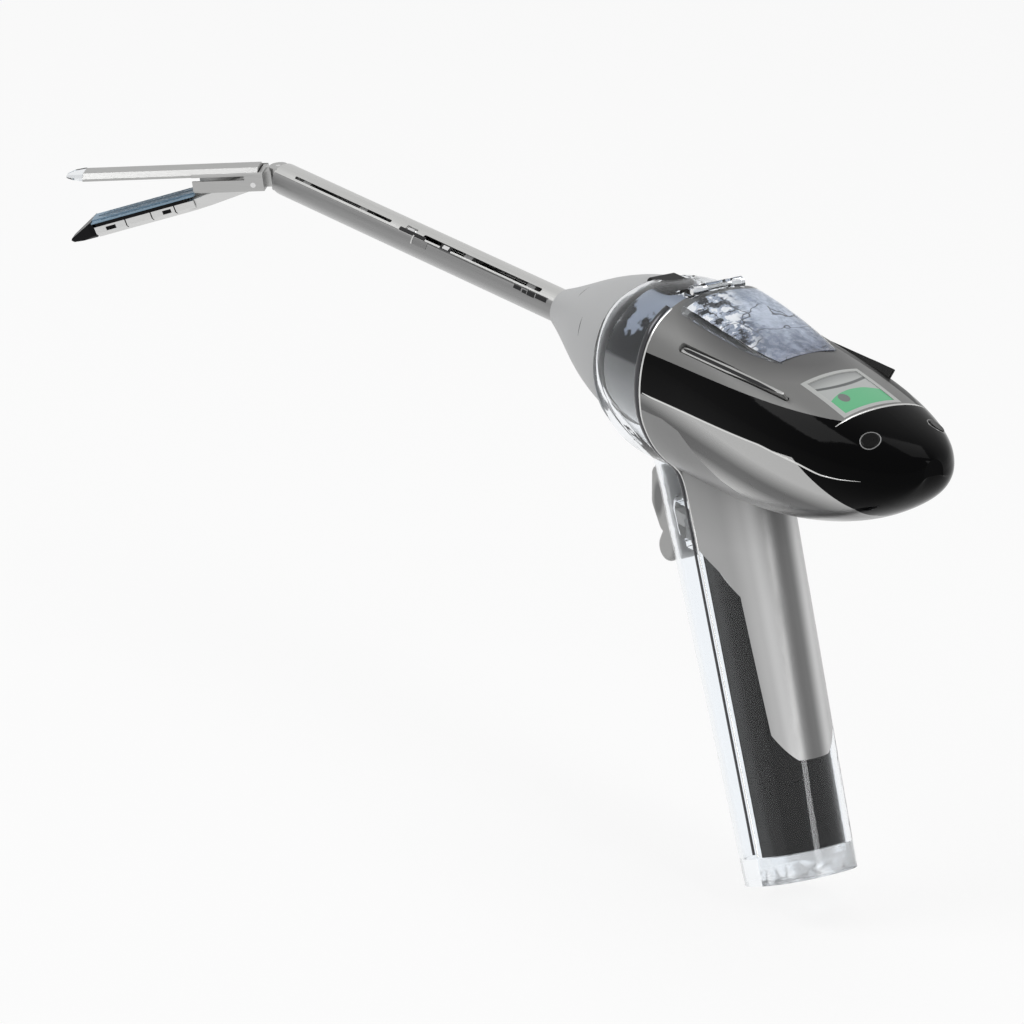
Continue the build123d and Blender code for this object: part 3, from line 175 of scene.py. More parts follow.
def makeTwoTone():
    # a soft step: 0 below Edge and 1 above it, over the width Soft
    tree, given, result = newGroup(
        "twoTone",
        [("Value", "NodeSocketFloat", 0.0), ("Edge", "NodeSocketFloat", 0.0),
         ("Soft", "NodeSocketFloat", 0.001)],
        [("Mask", "NodeSocketFloat")])
    apart = calc(tree, "SUBTRACT", given.outputs["Value"], given.outputs["Edge"])
    scaled = calc(tree, "DIVIDE", apart, given.outputs["Soft"])
    step = calc(tree, "ADD", scaled, 0.5)
    tree.links.new(calc(tree, "MINIMUM", calc(tree, "MAXIMUM", step, 0.0), 1.0), result.inputs["Mask"])
    return tree


mouldGrain = makeMouldGrain()
brushGrain = makeBrushGrain()
handling = makeHandling()
twoTone = makeTwoTone()


def startMaterial(name, color, metallic=0.0):
    # a Principled material with its Object coordinates ready
    material = bpy.data.materials.new(name)
    material.use_nodes = True
    tree = material.node_tree
    shader = tree.nodes["Principled BSDF"]
    shader.inputs["Base Color"].default_value = (*color, 1.0)
    shader.inputs["Metallic"].default_value = metallic
    place = tree.nodes.new("ShaderNodeTexCoord").outputs["Object"]
    return material, tree, shader, place


def useGroup(tree, group, vector, **values):
    # one effect group placed in a material, its first vector or value socket linked
    node = tree.nodes.new("ShaderNodeGroup")
    node.node_tree = group
    tree.links.new(vector, node.inputs[0])
    for key, value in values.items():
        node.inputs[key].default_value = value
    return node


def softStep(tree, value, edge, soft):
    # 0 where the value is below the edge and 1 above it, over the width soft
    return useGroup(tree, twoTone, value, Edge=edge, Soft=soft).outputs["Mask"]


def tintColor(tree, color, factor):
    # the colour times a factor that changes over the surface
    mix = tree.nodes.new("ShaderNodeVectorMath")
    mix.operation = "MULTIPLY"
    if isinstance(color, (tuple, list)):
        mix.inputs[0].default_value = color
    else:
        tree.links.new(color, mix.inputs[0])
    tree.links.new(factor, mix.inputs[1])
    return mix.outputs[0]


def mixColor(tree, mask, low, high):
    # low where the mask is 0, high where it is 1; each a colour or a socket
    mix = tree.nodes.new("ShaderNodeMix")
    mix.data_type = "RGBA"
    tree.links.new(mask, mix.inputs[0])
    for slot, value in ((mix.inputs[6], low), (mix.inputs[7], high)):
        if isinstance(value, (tuple, list)):
            slot.default_value = (*value, 1.0)
        else:
            tree.links.new(value, slot)
    return mix.outputs[2]


def bumpFrom(tree, height, distance, under=None):
    # a normal from a height between 0 and 1 that stands for a distance in metres, over another normal
    bump = tree.nodes.new("ShaderNodeBump")
    bump.inputs["Distance"].default_value = distance
    tree.links.new(height, bump.inputs["Height"])
    if under is not None:
        tree.links.new(under, bump.inputs["Normal"])
    return bump.outputs["Normal"]


def mouldedPlastic(name, color, roughness, metallic=0.0, grain=2600.0, depth=1e-5, tone=0.06, marks=0.1,
                   ior=1.45, shade=None):
    # colour x broad tone; roughness + smudges + scratches; fine grain as bump
    material, tree, shader, place = startMaterial(name, color, metallic)
    texture = useGroup(tree, mouldGrain, place, Scale=grain, Tone=tone)
    used = useGroup(tree, handling, place, Amount=marks)
    under = color if shade is None else shade(tree, place, color)
    tree.links.new(tintColor(tree, under, texture.outputs["Tone"]), shader.inputs["Base Color"])
    both = calc(tree, "ADD", used.outputs["Smudge"], used.outputs["Scratch"])
    tree.links.new(calc(tree, "ADD", both, roughness), shader.inputs["Roughness"])
    tree.links.new(bumpFrom(tree, texture.outputs["Height"], depth), shader.inputs["Normal"])
    shader.inputs["IOR"].default_value = ior
    return material


def brushedMetal(name, color, roughness, turn=0.0, across=5200.0, along=60.0, depth=6e-6, marks=0.06,
                 streak=0.16, shade=None):
    # streaks along x after turning by turn about z; colour and roughness swing with them about their middle
    material, tree, shader, place = startMaterial(name, color, 1.0)
    mapping = tree.nodes.new("ShaderNodeMapping")
    mapping.inputs["Rotation"].default_value = (0.0, 0.0, -turn)
    tree.links.new(place, mapping.inputs["Vector"])
    texture = useGroup(tree, brushGrain, mapping.outputs[0], Across=across, Along=along)
    used = useGroup(tree, handling, place, Amount=marks)
    streaks = calc(tree, "MULTIPLY", texture.outputs["Streak"], streak)
    base = calc(tree, "ADD", streaks, roughness - streak / 2)
    tree.links.new(calc(tree, "ADD", base, used.outputs["Smudge"]), shader.inputs["Roughness"])
    under = color if shade is None else shade(tree, place, color)
    tone = calc(tree, "ADD", streaks, 1.0 - streak / 2)
    tree.links.new(tintColor(tree, under, tone), shader.inputs["Base Color"])
    tree.links.new(bumpFrom(tree, texture.outputs["Height"], depth), shader.inputs["Normal"])
    return material


def clearPlastic(name, color=(0.95, 0.97, 0.99), roughness=0.03, ior=1.32, ripple=2e-5, scale=90.0, marks=0.05,
                 relief=None, reliefDepth=0.0022):
    # clear moulding: full transmission, faint flow ripples as bump, a little smudge in the roughness;
    # relief gives a second height and a tint
    material, tree, shader, place = startMaterial(name, color)
    shader.inputs["Transmission Weight"].default_value = 1.0
    shader.inputs["IOR"].default_value = ior
    used = useGroup(tree, handling, place, Amount=marks)
    tree.links.new(calc(tree, "ADD", used.outputs["Smudge"], roughness), shader.inputs["Roughness"])
    normal = bumpFrom(tree, noiseOn(tree, place, scale, 3.0), ripple)
    if relief is not None:
        height, tint = relief(tree, place, color)
        normal = bumpFrom(tree, height, reliefDepth, normal)
        tree.links.new(tint, shader.inputs["Base Color"])
    tree.links.new(normal, shader.inputs["Normal"])
    return material


def splitAxes(tree, place):
    # x, y and z of a place, or red, green and blue of a colour
    apart = tree.nodes.new("ShaderNodeSeparateXYZ")
    tree.links.new(place, apart.inputs[0])
    return apart.outputs


def spansPast(tree, value, low, span):
    # how far the value lies past low, counted in spans
    return calc(tree, "DIVIDE", calc(tree, "SUBTRACT", value, low), span)


def sumOfSquares(tree, first, second):
    return calc(tree, "ADD", calc(tree, "POWER", first, 2.0), calc(tree, "POWER", second, 2.0))


tubePaintedShadeTone = {"seam": radians(35.0), "soft": 0.10, "lower": (0.27, 0.27, 0.27), "edge": (0.52, 0.52, 0.52),
            "belly": -0.55, "bellySoft": 0.9}


def tubePaintedShade(tree, place, color):
    # angle round the shaft from -y upwards: above the seam between the half shells the shaft keeps its colour,
    # below it a painted shade darkens it, and painted light lightens it again towards its underside
    axes = splitAxes(tree, place)
    turn = calc(tree, "ARCTAN2", axes[2], calc(tree, "MULTIPLY", axes[1], -1.0))
    upper = softStep(tree, turn, tubePaintedShadeTone["seam"], tubePaintedShadeTone["soft"])
    aside = softStep(tree, turn, tubePaintedShadeTone["belly"], tubePaintedShadeTone["bellySoft"])
    under = mixColor(tree, aside, tubePaintedShadeTone["edge"], tubePaintedShadeTone["lower"])
    return mixColor(tree, upper, under, color)


bellyPaintedReflectionTone = {"start": (0.098, -0.0075), "slope": -0.135, "soft": 0.007, "dark": (0.10, 0.10, 0.10),
             "width": 0.0055}


def bellyPaintedReflection(tree, place, color):
    # height above a line that falls to the rear: a dark band of painted reflection along it, silver above and
    # below
    axes = splitAxes(tree, place)
    along = calc(tree, "SUBTRACT", axes[0], bellyPaintedReflectionTone["start"][0])
    line = calc(tree, "MULTIPLY_ADD", along, bellyPaintedReflectionTone["slope"], bellyPaintedReflectionTone["start"][1])
    height = calc(tree, "ABSOLUTE", calc(tree, "SUBTRACT", axes[2], line))
    band = softStep(tree, height, bellyPaintedReflectionTone["width"], bellyPaintedReflectionTone["soft"])
    return mixColor(tree, band, bellyPaintedReflectionTone["dark"], color)


baseTone = {"split": 0.0057, "soft": 0.0012, "low": -0.016, "light": (0.46, 0.46, 0.46),
            "mid": (0.13, 0.13, 0.13), "sky": (0.24, 0.27, 0.33), "skyHeight": 0.0185, "skySoft": 0.0015,
            "cloud": 95.0, "cloudLift": 0.03}


def baseTonesAndPaintedReflections(tree, place, color):
    # height on the adapter base: dark above the split with painted reflections as pale patches near the top,
    # and below it a grey that lightens downwards
    axes = splitAxes(tree, place)
    split, low = baseTone["split"], baseTone["low"]
    above = softStep(tree, axes[2], split, baseTone["soft"])
    fade = softStep(tree, axes[2], (split + low) / 2, split - low)
    lower = mixColor(tree, fade, baseTone["light"], baseTone["mid"])
    cloud = noiseOn(tree, place, baseTone["cloud"], 3.0)
    lifted = calc(tree, "MULTIPLY_ADD", cloud, baseTone["cloudLift"], axes[2])
    sky = softStep(tree, lifted, baseTone["skyHeight"] + baseTone["cloudLift"] / 2, baseTone["skySoft"])
    upper = mixColor(tree, sky, color, baseTone["sky"])
    return mixColor(tree, above, lower, upper)


togglePaintedShadeTone = {"middle": (0.0655, -0.0485), "size": (0.0026, 0.0062), "soft": 0.5, "dark": (0.17, 0.17, 0.17)}


def togglePaintedShade(tree, place, color):
    # painted shade in an oval hollow on the side of the upper lobe, darker than the rest
    axes = splitAxes(tree, place)
    across = spansPast(tree, axes[0], togglePaintedShadeTone["middle"][0], togglePaintedShadeTone["size"][0])
    upward = spansPast(tree, axes[2], togglePaintedShadeTone["middle"][1], togglePaintedShadeTone["size"][1])
    outside = softStep(tree, calc(tree, "SQRT", sumOfSquares(tree, across, upward)), 1.0, togglePaintedShadeTone["soft"])
    return mixColor(tree, outside, togglePaintedShadeTone["dark"], color)


deckPaintedShadeTone = {"edge": 0.0146, "soft": 0.0004, "dark": (0.0015, 0.0015, 0.0017), "shadeX": 0.120,
            "shadeSize": (0.036, 0.019), "shadeEdge": 1.15, "shadeSoft": 0.8, "shaded": (0.13, 0.13, 0.13)}


def deckPaintedShade(tree, place, color):
    # grey, with a painted shadow of the hump in an oval round its foot, and painted shade, black, past a line
    # along the right side
    axes = splitAxes(tree, place)
    along = spansPast(tree, axes[0], deckPaintedShadeTone["shadeX"], deckPaintedShadeTone["shadeSize"][0])
    across = calc(tree, "DIVIDE", axes[1], deckPaintedShadeTone["shadeSize"][1])
    outside = softStep(tree, sumOfSquares(tree, along, across), deckPaintedShadeTone["shadeEdge"], deckPaintedShadeTone["shadeSoft"])
    grey = mixColor(tree, outside, deckPaintedShadeTone["shaded"], color)
    side = softStep(tree, axes[1], deckPaintedShadeTone["edge"], deckPaintedShadeTone["soft"])
    return mixColor(tree, side, grey, deckPaintedShadeTone["dark"])


def rampColor(tree, value, stops):
    # a colour ramp read with the value, from places and greys
    ramp = tree.nodes.new("ShaderNodeValToRGB")
    while len(ramp.color_ramp.elements) < len(stops):
        ramp.color_ramp.elements.new(0.5)
    for element, (spot, grey) in zip(ramp.color_ramp.elements, stops):
        element.position = spot
        element.color = (grey, grey, grey, 1.0)
    ramp.color_ramp.interpolation = "EASE"
    tree.links.new(value, ramp.inputs[0])
    return ramp.outputs[0]


gripPaintedLightTone = {"lean": 0.376, "middle": 0.0826, "halfDepth": 0.0237, "halfWidth": 0.0175,
            "bellyShadowHeights": (-0.034, 0.030), "bellyShadowStrength": 0.45,
            "saddle": ((0.0, 0.17), (0.08, 0.19), (0.27, 0.66), (0.36, 0.56), (0.55, 0.42), (1.0, 0.42)),
            "core": ((0.0, 0.002), (0.50, 0.002), (0.66, 0.003), (0.80, 0.028), (1.0, 0.040))}


def gripAngle(tree, place):
    # angle round the grip's leaning axis, counted in quarter turns from its back to its sides
    axes = splitAxes(tree, place)
    lean = calc(tree, "MULTIPLY_ADD", axes[2], gripPaintedLightTone["lean"], axes[0])
    back = spansPast(tree, lean, gripPaintedLightTone["middle"], gripPaintedLightTone["halfDepth"])
    beside = calc(tree, "DIVIDE", calc(tree, "ABSOLUTE", axes[1]), gripPaintedLightTone["halfWidth"])
    return axes, calc(tree, "MULTIPLY", calc(tree, "ARCTAN2", beside, back), 2 / pi)


def saddlePaintedLight(tree, place, color):
    # painted light and shade: greys round the grip with a bright painted highlight band, and a painted shadow
    # close under the belly
    axes, angle = gripAngle(tree, place)
    greys = rampColor(tree, angle, gripPaintedLightTone["saddle"])
    low = softStep(tree, axes[2], *gripPaintedLightTone["bellyShadowHeights"])
    darker = calc(tree, "MULTIPLY", low, gripPaintedLightTone["bellyShadowStrength"])
    return tintColor(tree, greys, calc(tree, "SUBTRACT", 1.0, darker))


def corePaintedLight(tree, place, color):
    # painted light and shade: greys round the grip
    return rampColor(tree, gripAngle(tree, place)[1], gripPaintedLightTone["core"])


footLook = {"top": -0.157, "soft": 0.006, "cells": 190.0, "line": 0.08, "lineSoft": 0.04,
            "dark": (0.004, 0.005, 0.006), "grey": (0.20, 0.22, 0.24)}


def footRelief(tree, place, color):
    # below the foot's top: cells that rise from their middles, each of its own grey, with dark lines between
    axes = splitAxes(tree, place)
    above = softStep(tree, axes[2], footLook["top"], footLook["soft"])
    cells = cellsOn(tree, place, footLook["cells"])
    edges = cellsOn(tree, place, footLook["cells"], "DISTANCE_TO_EDGE")
    height = calc(tree, "MULTIPLY", cells["Distance"], calc(tree, "SUBTRACT", 1.0, above))
    line = softStep(tree, edges["Distance"], footLook["line"], footLook["lineSoft"])
    facet = mixColor(tree, splitAxes(tree, cells["Color"])[0], footLook["grey"], color)
    foot = mixColor(tree, line, footLook["dark"], facet)
    return height, mixColor(tree, above, foot, color)


toolTurn = radians(45.0)      # the tool is bent this far from the shaft at rest
clears = {
    "clearShell": dict(relief=footRelief),
    "clearFront": dict(roughness=0.02, ior=1.2),
    "clearTip": dict(color=(0.88, 0.90, 0.92), roughness=0.08),
}
plastics = {
    "pianoBlack": dict(color=(0.0012, 0.0012, 0.0014), roughness=0.08, depth=1e-6, marks=0.05, ior=1.12),
    "coreBlack": dict(color=(0.008, 0.008, 0.009), roughness=0.22, depth=6e-6, marks=0.12, ior=1.2,
                      shade=corePaintedLight),
    "baseDark": dict(color=(0.012, 0.012, 0.014), roughness=0.14, depth=2e-6, ior=1.3, shade=baseTonesAndPaintedReflections),
    "batteryDark": dict(color=(0.012, 0.012, 0.013), roughness=0.3, depth=4e-6, ior=1.25),
    "deckGrey": dict(color=(0.21, 0.21, 0.207), roughness=0.34, metallic=0.2, depth=8e-6, ior=1.2,
                     shade=deckPaintedShade),
    # painted shade: the right rocker dark where the left one is silver
    "railPaintedShade": dict(color=(0.004, 0.004, 0.004), roughness=0.2, depth=2e-6, ior=1.2),
    "frameGrey": dict(color=(0.25, 0.25, 0.25), roughness=0.42, depth=8e-6),
    "satinSilver": dict(color=(0.46, 0.46, 0.455), roughness=0.22, metallic=0.9, depth=3e-6, marks=0.05,
                        shade=bellyPaintedReflection),
    "railSilver": dict(color=(0.50, 0.50, 0.495), roughness=0.2, metallic=0.9, depth=3e-6, marks=0.05),
    "saddleGrey": dict(color=(0.37, 0.37, 0.365), roughness=0.30, metallic=0.3, depth=8e-6, shade=saddlePaintedLight),
    "coneGrey": dict(color=(0.48, 0.485, 0.49), roughness=0.45, depth=12e-6, marks=0.05),
    "toggleGrey": dict(color=(0.42, 0.42, 0.415), roughness=0.30, depth=6e-6, shade=togglePaintedShade),
    "buttonBlack": dict(color=(0.004, 0.004, 0.004), roughness=0.25, depth=6e-6, ior=1.2),
    "releaseBlack": dict(color=(0.012, 0.012, 0.013), roughness=0.4, depth=1e-5, ior=1.15),
    "bezelPale": dict(color=(0.46, 0.47, 0.46), roughness=0.35, depth=5e-6, marks=0.03),
    "boardGreen": dict(color=(0.02, 0.12, 0.06), roughness=0.45, depth=1e-5),
    "cartridgeBlack": dict(color=(0.004, 0.004, 0.005), roughness=0.28, depth=4e-6, ior=1.2),
    "deckBlue": dict(color=(0.24, 0.36, 0.47), roughness=0.32, depth=5e-6),
    # a dark strip as painted shade on the clear shell's rim, and bright strips: painted highlights on seams,
    # edges and the shaft's rail, and the latch's arc
    "rimPaintedShade": dict(color=(0.06, 0.06, 0.065), roughness=0.12, metallic=0.7, depth=1e-6, marks=0.04),
    "brightTrimAndHighlight": dict(color=(0.70, 0.70, 0.69), roughness=0.14, metallic=0.9, depth=1e-6, marks=0.03),
    "trimGrey": dict(color=(0.22, 0.22, 0.22), roughness=0.3, metallic=0.5, depth=2e-6, marks=0.03),
    "inkDark": dict(color=(0.012, 0.012, 0.013), roughness=0.4, depth=2e-6, ior=1.25),
    "windowWhite": dict(color=(0.75, 0.75, 0.75), roughness=0.3, depth=2e-6),
}
metals = {
    "shaftSteel": dict(color=(0.60, 0.60, 0.59), roughness=0.30, shade=tubePaintedShade),
    "toolSteel": dict(color=(0.47, 0.47, 0.465), roughness=0.36, turn=toolTurn),
    "channelSteel": dict(color=(0.66, 0.66, 0.655), roughness=0.30, turn=toolTurn),
    "brightSteel": dict(color=(0.72, 0.72, 0.72), roughness=0.16, depth=2e-6),
    "darkSteel": dict(color=(0.10, 0.10, 0.10), roughness=0.30),
    "motorMetal": dict(color=(0.40, 0.40, 0.39), roughness=0.34),
}
finish = {}
for make, looks in ((clearPlastic, clears), (mouldedPlastic, plastics), (brushedMetal, metals)):
    for finishName, look in looks.items():
        finish[finishName] = make(finishName, **look)
print("stage: materials made,", len(finish))

nodeFinish = {
    "clearShell": ("grip_shell",),
    "clearFront": ("shell_front", "top_window"),
    "clearTip": ("anvil_tip",),
    "pianoBlack": ("housing_left", "housing_right"),
    "coreBlack": ("grip_core", "battery_cap"),
    "baseDark": ("adapter_base",),
    "batteryDark": ("battery_pack",),
    "deckGrey": ("deck_cover",),
    "frameGrey": ("toggle_gimbal", "rod_guides", "chassis"),
    "satinSilver": ("belly_cover",),
    "railSilver": ("rocker_left",),
    "railPaintedShade": ("rocker_right",),
    "saddleGrey": ("grip_saddle",),
    "coneGrey": ("nose_cone",),
    "toggleGrey": ("toggle_rocker",),
    "buttonBlack": ("end_button_left", "end_button_right"),
    "releaseBlack": ("release_button",),
    "bezelPale": ("display_bezel",),
    "boardGreen": ("control_board",),
    "cartridgeBlack": ("cartridge_body", "cartridge_nose"),
    "deckBlue": ("staple_deck",),
    "shaftSteel": ("adapter_tube", "reload_tube"),
    "toolSteel": ("anvil", "side_plates", "tool_knuckle", "clevis", "drive_beam", "sled"),
    "channelSteel": ("cartridge_channel",),
    "brightSteel": ("hinge_pin", "reload_collar", "firing_rod", "lead_screw", "bend_link", "bend_pin",
                    "jaw_pin", "staples", "coupling_plate", "cone_bearing", "rotation_shaft", "firing_shaft",
                    "bend_shaft"),
    "motorMetal": ("motor_plate", "gearboxes", "drive_motors"),
}


def dress(node, material):
    # gives a CAD node one material over all its faces
    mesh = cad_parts[node].data
    mesh.materials.clear()
    mesh.materials.append(material)


for finishName, nodeNames in nodeFinish.items():
    for nodeName in nodeNames:
        dress(nodeName, finish[finishName])


# display: places run from 0 to 1 over the glass, first along the barrel to the rear and then across it
# from the left side; the page lies in front of the edge and the green field behind it
displayPage = {
    "edge": 0.50, "edgeSoft": 0.01, "edgeBow": -0.55, "edgeWave": 0.05, "wave": 120.0,
    "grey": (0.36, 0.37, 0.365), "dim": (0.10, 0.105, 0.105), "lineAt": 0.33, "lineBow": 0.5,
    "lineHalf": 0.035, "lineSoft": 0.02, "shaded": (0.20, 0.205, 0.205), "shadeEnd": 0.12, "shadeSoft": 0.25,
    "green": (0.115, 0.38, 0.20), "spot": (0.15, 0.16, 0.155), "spotAt": (0.64, 0.25),
    "spotSize": (0.12, 0.09), "spotSoft": 0.2, "roughness": 0.12, "roughWave": 0.1, "ior": 1.3, "glow": 0.25}


def displayGlass(page):
    # page and field parted by a bowed and wavy edge; a thin dark bowed line across the page, whose front
    # is shaded; a grey oval spot in the field
    material, tree, shader, place = startMaterial("displayGlass", page["grey"])
    low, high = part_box("display_lens")
    axes = splitAxes(tree, place)
    along = spansPast(tree, axes[0], low[0], high[0] - low[0])
    across = spansPast(tree, axes[1], low[1], high[1] - low[1])
    bow = calc(tree, "POWER", calc(tree, "SUBTRACT", across, 0.5), 2.0)
    wave = noiseOn(tree, place, page["wave"], 2.0)
    bowed = calc(tree, "MULTIPLY_ADD", bow, page["edgeBow"], along)
    edge = calc(tree, "MULTIPLY_ADD", wave, page["edgeWave"], bowed)
    field = softStep(tree, edge, page["edge"], page["edgeSoft"])
    curve = calc(tree, "MULTIPLY_ADD", bow, page["lineBow"], along)
    offLine = calc(tree, "ABSOLUTE", calc(tree, "SUBTRACT", curve, page["lineAt"]))
    line = softStep(tree, offLine, page["lineHalf"], page["lineSoft"])
    pageColor = mixColor(tree, line, page["dim"], page["grey"])
    behind = softStep(tree, along, page["shadeEnd"], page["shadeSoft"])
    pageColor = mixColor(tree, behind, page["shaded"], pageColor)
    first = spansPast(tree, along, page["spotAt"][0], page["spotSize"][0])
    second = spansPast(tree, across, page["spotAt"][1], page["spotSize"][1])
    outside = softStep(tree, sumOfSquares(tree, first, second), 1.0, page["spotSoft"])
    fieldColor = mixColor(tree, outside, page["spot"], page["green"])
    color = mixColor(tree, field, pageColor, fieldColor)
    tree.links.new(color, shader.inputs["Base Color"])
    rough = calc(tree, "MULTIPLY_ADD", wave, page["roughWave"], page["roughness"])
    tree.links.new(rough, shader.inputs["Roughness"])
    shader.inputs["IOR"].default_value = page["ior"]
    tree.links.new(color, shader.inputs["Emission Color"])
    shader.inputs["Emission Strength"].default_value = page["glow"]
    return material


dress("display_lens", displayGlass(displayPage))
print("stage: CAD nodes dressed")


def makePiece(name, points, material, body, loop=True, caps=True, sharp=40.0):
    # a grid of points, rows along and columns round; the columns close when loop is set
    rows, columns = points.shape[:2]
    index = np.arange(rows * columns).reshape(rows, columns)
    beside = np.roll(index, -1, axis=1) if loop else index[:, 1:]
    here = index if loop else index[:, :-1]
    faces = np.stack([here[:-1], beside[:-1], beside[1:], here[1:]], axis=-1).reshape(-1, 4).tolist()
    if loop and caps:
        faces += [index[0][::-1].tolist(), index[-1].tolist()]
    mesh = bpy.data.meshes.new(name)
    mesh.from_pydata((points.reshape(-1, 3) * mm).tolist(), [], faces)
    if loop:
        shape = bmesh.new()
        shape.from_mesh(mesh)
        bmesh.ops.recalc_face_normals(shape, faces=shape.faces)
        shape.to_mesh(mesh)
        shape.free()
    mesh.shade_smooth()
    mesh.set_sharp_from_angle(angle=radians(sharp))
    mesh.materials.append(material)
    piece = bpy.data.objects.new(name, mesh)
    bpy.context.scene.collection.objects.link(piece)
    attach(piece, body)
    return piece


def surfaceTree(nodeNames):
    # one search tree over the meshes of some CAD nodes
    places, faces, count = [], [], 0
    for nodeName in nodeNames:
        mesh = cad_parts[nodeName].data
        corners = np.empty(len(mesh.vertices) * 3)
        mesh.vertices.foreach_get("co", corners)
        places += corners.reshape(-1, 3).tolist()
        faces += [[v + count for v in face.vertices] for face in mesh.polygons]
        count += len(mesh.vertices)
    return BVHTree.FromPolygons(places, faces)


def seat(surface, starts, aims):
    # where straight looks from the starts along the aims first meet the surface, and its normals there
    found = [surface.ray_cast(Vector(start * mm), Vector(aim)) for start, aim in zip(starts, aims)]
    kept = [hit for hit in found if hit[0] is not None]
    spots = np.array([list(hit[0]) for hit in kept]) / mm
    normals = np.array([list(hit[1]) for hit in kept])
    looks = np.array([aim for hit, aim in zip(found, aims) if hit[0] is not None])
    facing = np.sign(-(normals * looks).sum(axis=1))[:, None]
    return spots, normals * np.where(facing == 0, 1, facing)


def even(rows, times):
    # a running mean over neighbours, ends kept
    for _ in range(times):
        inner = (rows[:-2] + 2 * rows[1:-1] + rows[2:]) / 4
        rows = np.concatenate([rows[:1], inner, rows[-1:]])
    return rows


def strip(name, path, normals, bar, fine=None, arcPoints=5):
    # a low rounded bar along a path on a surface: an arc of the bar's half width and height, closed
    # below the surface; fine is the share of that size at each point
    path = even(path, 2)
    normals = even(normals, 6)
    normals = normals / np.linalg.norm(normals, axis=1)[:, None]
    across = np.cross(normals, np.gradient(path, axis=0))
    across /= np.linalg.norm(across, axis=1)[:, None]
    turn = np.linspace(0, pi, arcPoints)
    arc = np.stack([np.cos(turn) * bar["half"], np.sin(turn) * bar["proud"]], axis=1)
    profile = np.concatenate([arc, [[-bar["half"], -bar["sunk"]], [bar["half"], -bar["sunk"]]]])
    size = np.ones((len(path), 1)) if fine is None else fine[:, None]
    sideShift = profile[None, :, 0] * size
    upShift = np.where(profile[None, :, 1] > 0, profile[None, :, 1] * size, profile[None, :, 1])
    points = path[:, None] + across[:, None] * sideShift[..., None] + normals[:, None] * upShift[..., None]
    makePiece(name, points, finish[bar["material"]], bar["body"])


bothSides = ((-1, "left"), (1, "right"))
farOut = 60.0                 # mm from the barrel's axis, outside every cover


def fromSide(side, x, z):
    # starts far out on one side at each x and z, and aims straight inwards
    starts = np.stack([x, np.full(len(x), side * farOut), z], axis=1)
    return starts, np.tile([0.0, -side, 0.0], (len(x), 1))


# the seam between the clear front shell and the rear covers, from the hinge down to the grip's foot:
# a dark band of painted shade on the shell's rim and a bright line of painted highlight on the covers
seamLook = {"ringX": 86.9, "ringAngles": (1.02, -0.36), "ringPoints": 46, "gripZ": (-14.0, -150.0),
            "gripPoints": 90, "edgeDepth": (12.0, 21.0, 33.0, 190.0),
            "edgeX": (87.0, 90.5, 124 - 0.376 * 77 + 3, 124 + 0.376 * 80 + 3), "narrowZ": (-40, -12)}
seamBars = {
    "rimShadeBand": {"nodes": ("shell_front",), "shift": -1.6, "gripShare": 0.55, "half": 1.25, "proud": 0.3,
                "sunk": 0.25, "material": "rimPaintedShade", "body": "front_shell", "slot": "dark_gloss"},
    "seamHighlight": {"nodes": ("deck_cover", "housing_left", "housing_right", "belly_cover", "grip_saddle",
                           "grip_shell"), "shift": 0.55, "gripShare": 0.8, "half": 0.36, "proud": 0.22,
                 "sunk": 0.2, "material": "brightTrimAndHighlight", "body": "handle", "slot": "bright_steel"},
}


def seamPath(side, shift):
    # round the ring by its angles first, then down the grip by heights along the shell's edge
    angle = np.linspace(*seamLook["ringAngles"], seamLook["ringPoints"])
    outward = np.stack([np.zeros(len(angle)), side * np.cos(angle), np.sin(angle)], axis=1)
    ring = outward * farOut + [seamLook["ringX"] + shift, 0.0, 0.0]
    z = np.linspace(*seamLook["gripZ"], seamLook["gripPoints"])
    starts, aims = fromSide(side, np.interp(-z, seamLook["edgeDepth"], seamLook["edgeX"]) + shift, z)
    return np.concatenate([ring, starts]), np.concatenate([-outward, aims])


surfaces = {barName: surfaceTree(bar["nodes"]) for barName, bar in seamBars.items()}
for side, tag in bothSides:
    for barName, bar in seamBars.items():
        spots, normals = seat(surfaces[barName], *seamPath(side, bar["shift"]))
        share = np.interp(spots[:, 2], seamLook["narrowZ"], [bar["gripShare"], 1.0])
        strip(barName + "_" + tag, spots, normals, bar, share)
print("stage: seam bands laid")

# painted highlight: a thin bright line on the seam between the black sides and the silver belly, running on
# into the black
bellySeamHighlightLook = {"x": (89.0, 94.2, 122.1, 155.5, 173.4, 182.8, 190.0, 197.0),
            "z": (-0.3, -0.5, -0.1, 0.5, -1.0, -2.7, -2.6, -1.8), "points": 90,
            "shareX": (89, 95, 178, 197), "share": (0.5, 1.0, 1.0, 0.15), "half": 0.34, "proud": 0.2,
            "sunk": 0.2, "material": "brightTrimAndHighlight", "body": "handle", "slot": "bright_steel"}
coverSurface = surfaceTree(("housing_left", "housing_right", "belly_cover"))
for side, tag in bothSides:
    x = np.linspace(bellySeamHighlightLook["x"][0], bellySeamHighlightLook["x"][-1], bellySeamHighlightLook["points"])
    spots, normals = seat(coverSurface, *fromSide(side, x, np.interp(x, bellySeamHighlightLook["x"], bellySeamHighlightLook["z"])))
    share = np.interp(spots[:, 0], bellySeamHighlightLook["shareX"], bellySeamHighlightLook["share"])
    strip("bellySeamHighlight_" + tag, spots, normals, bellySeamHighlightLook, share)

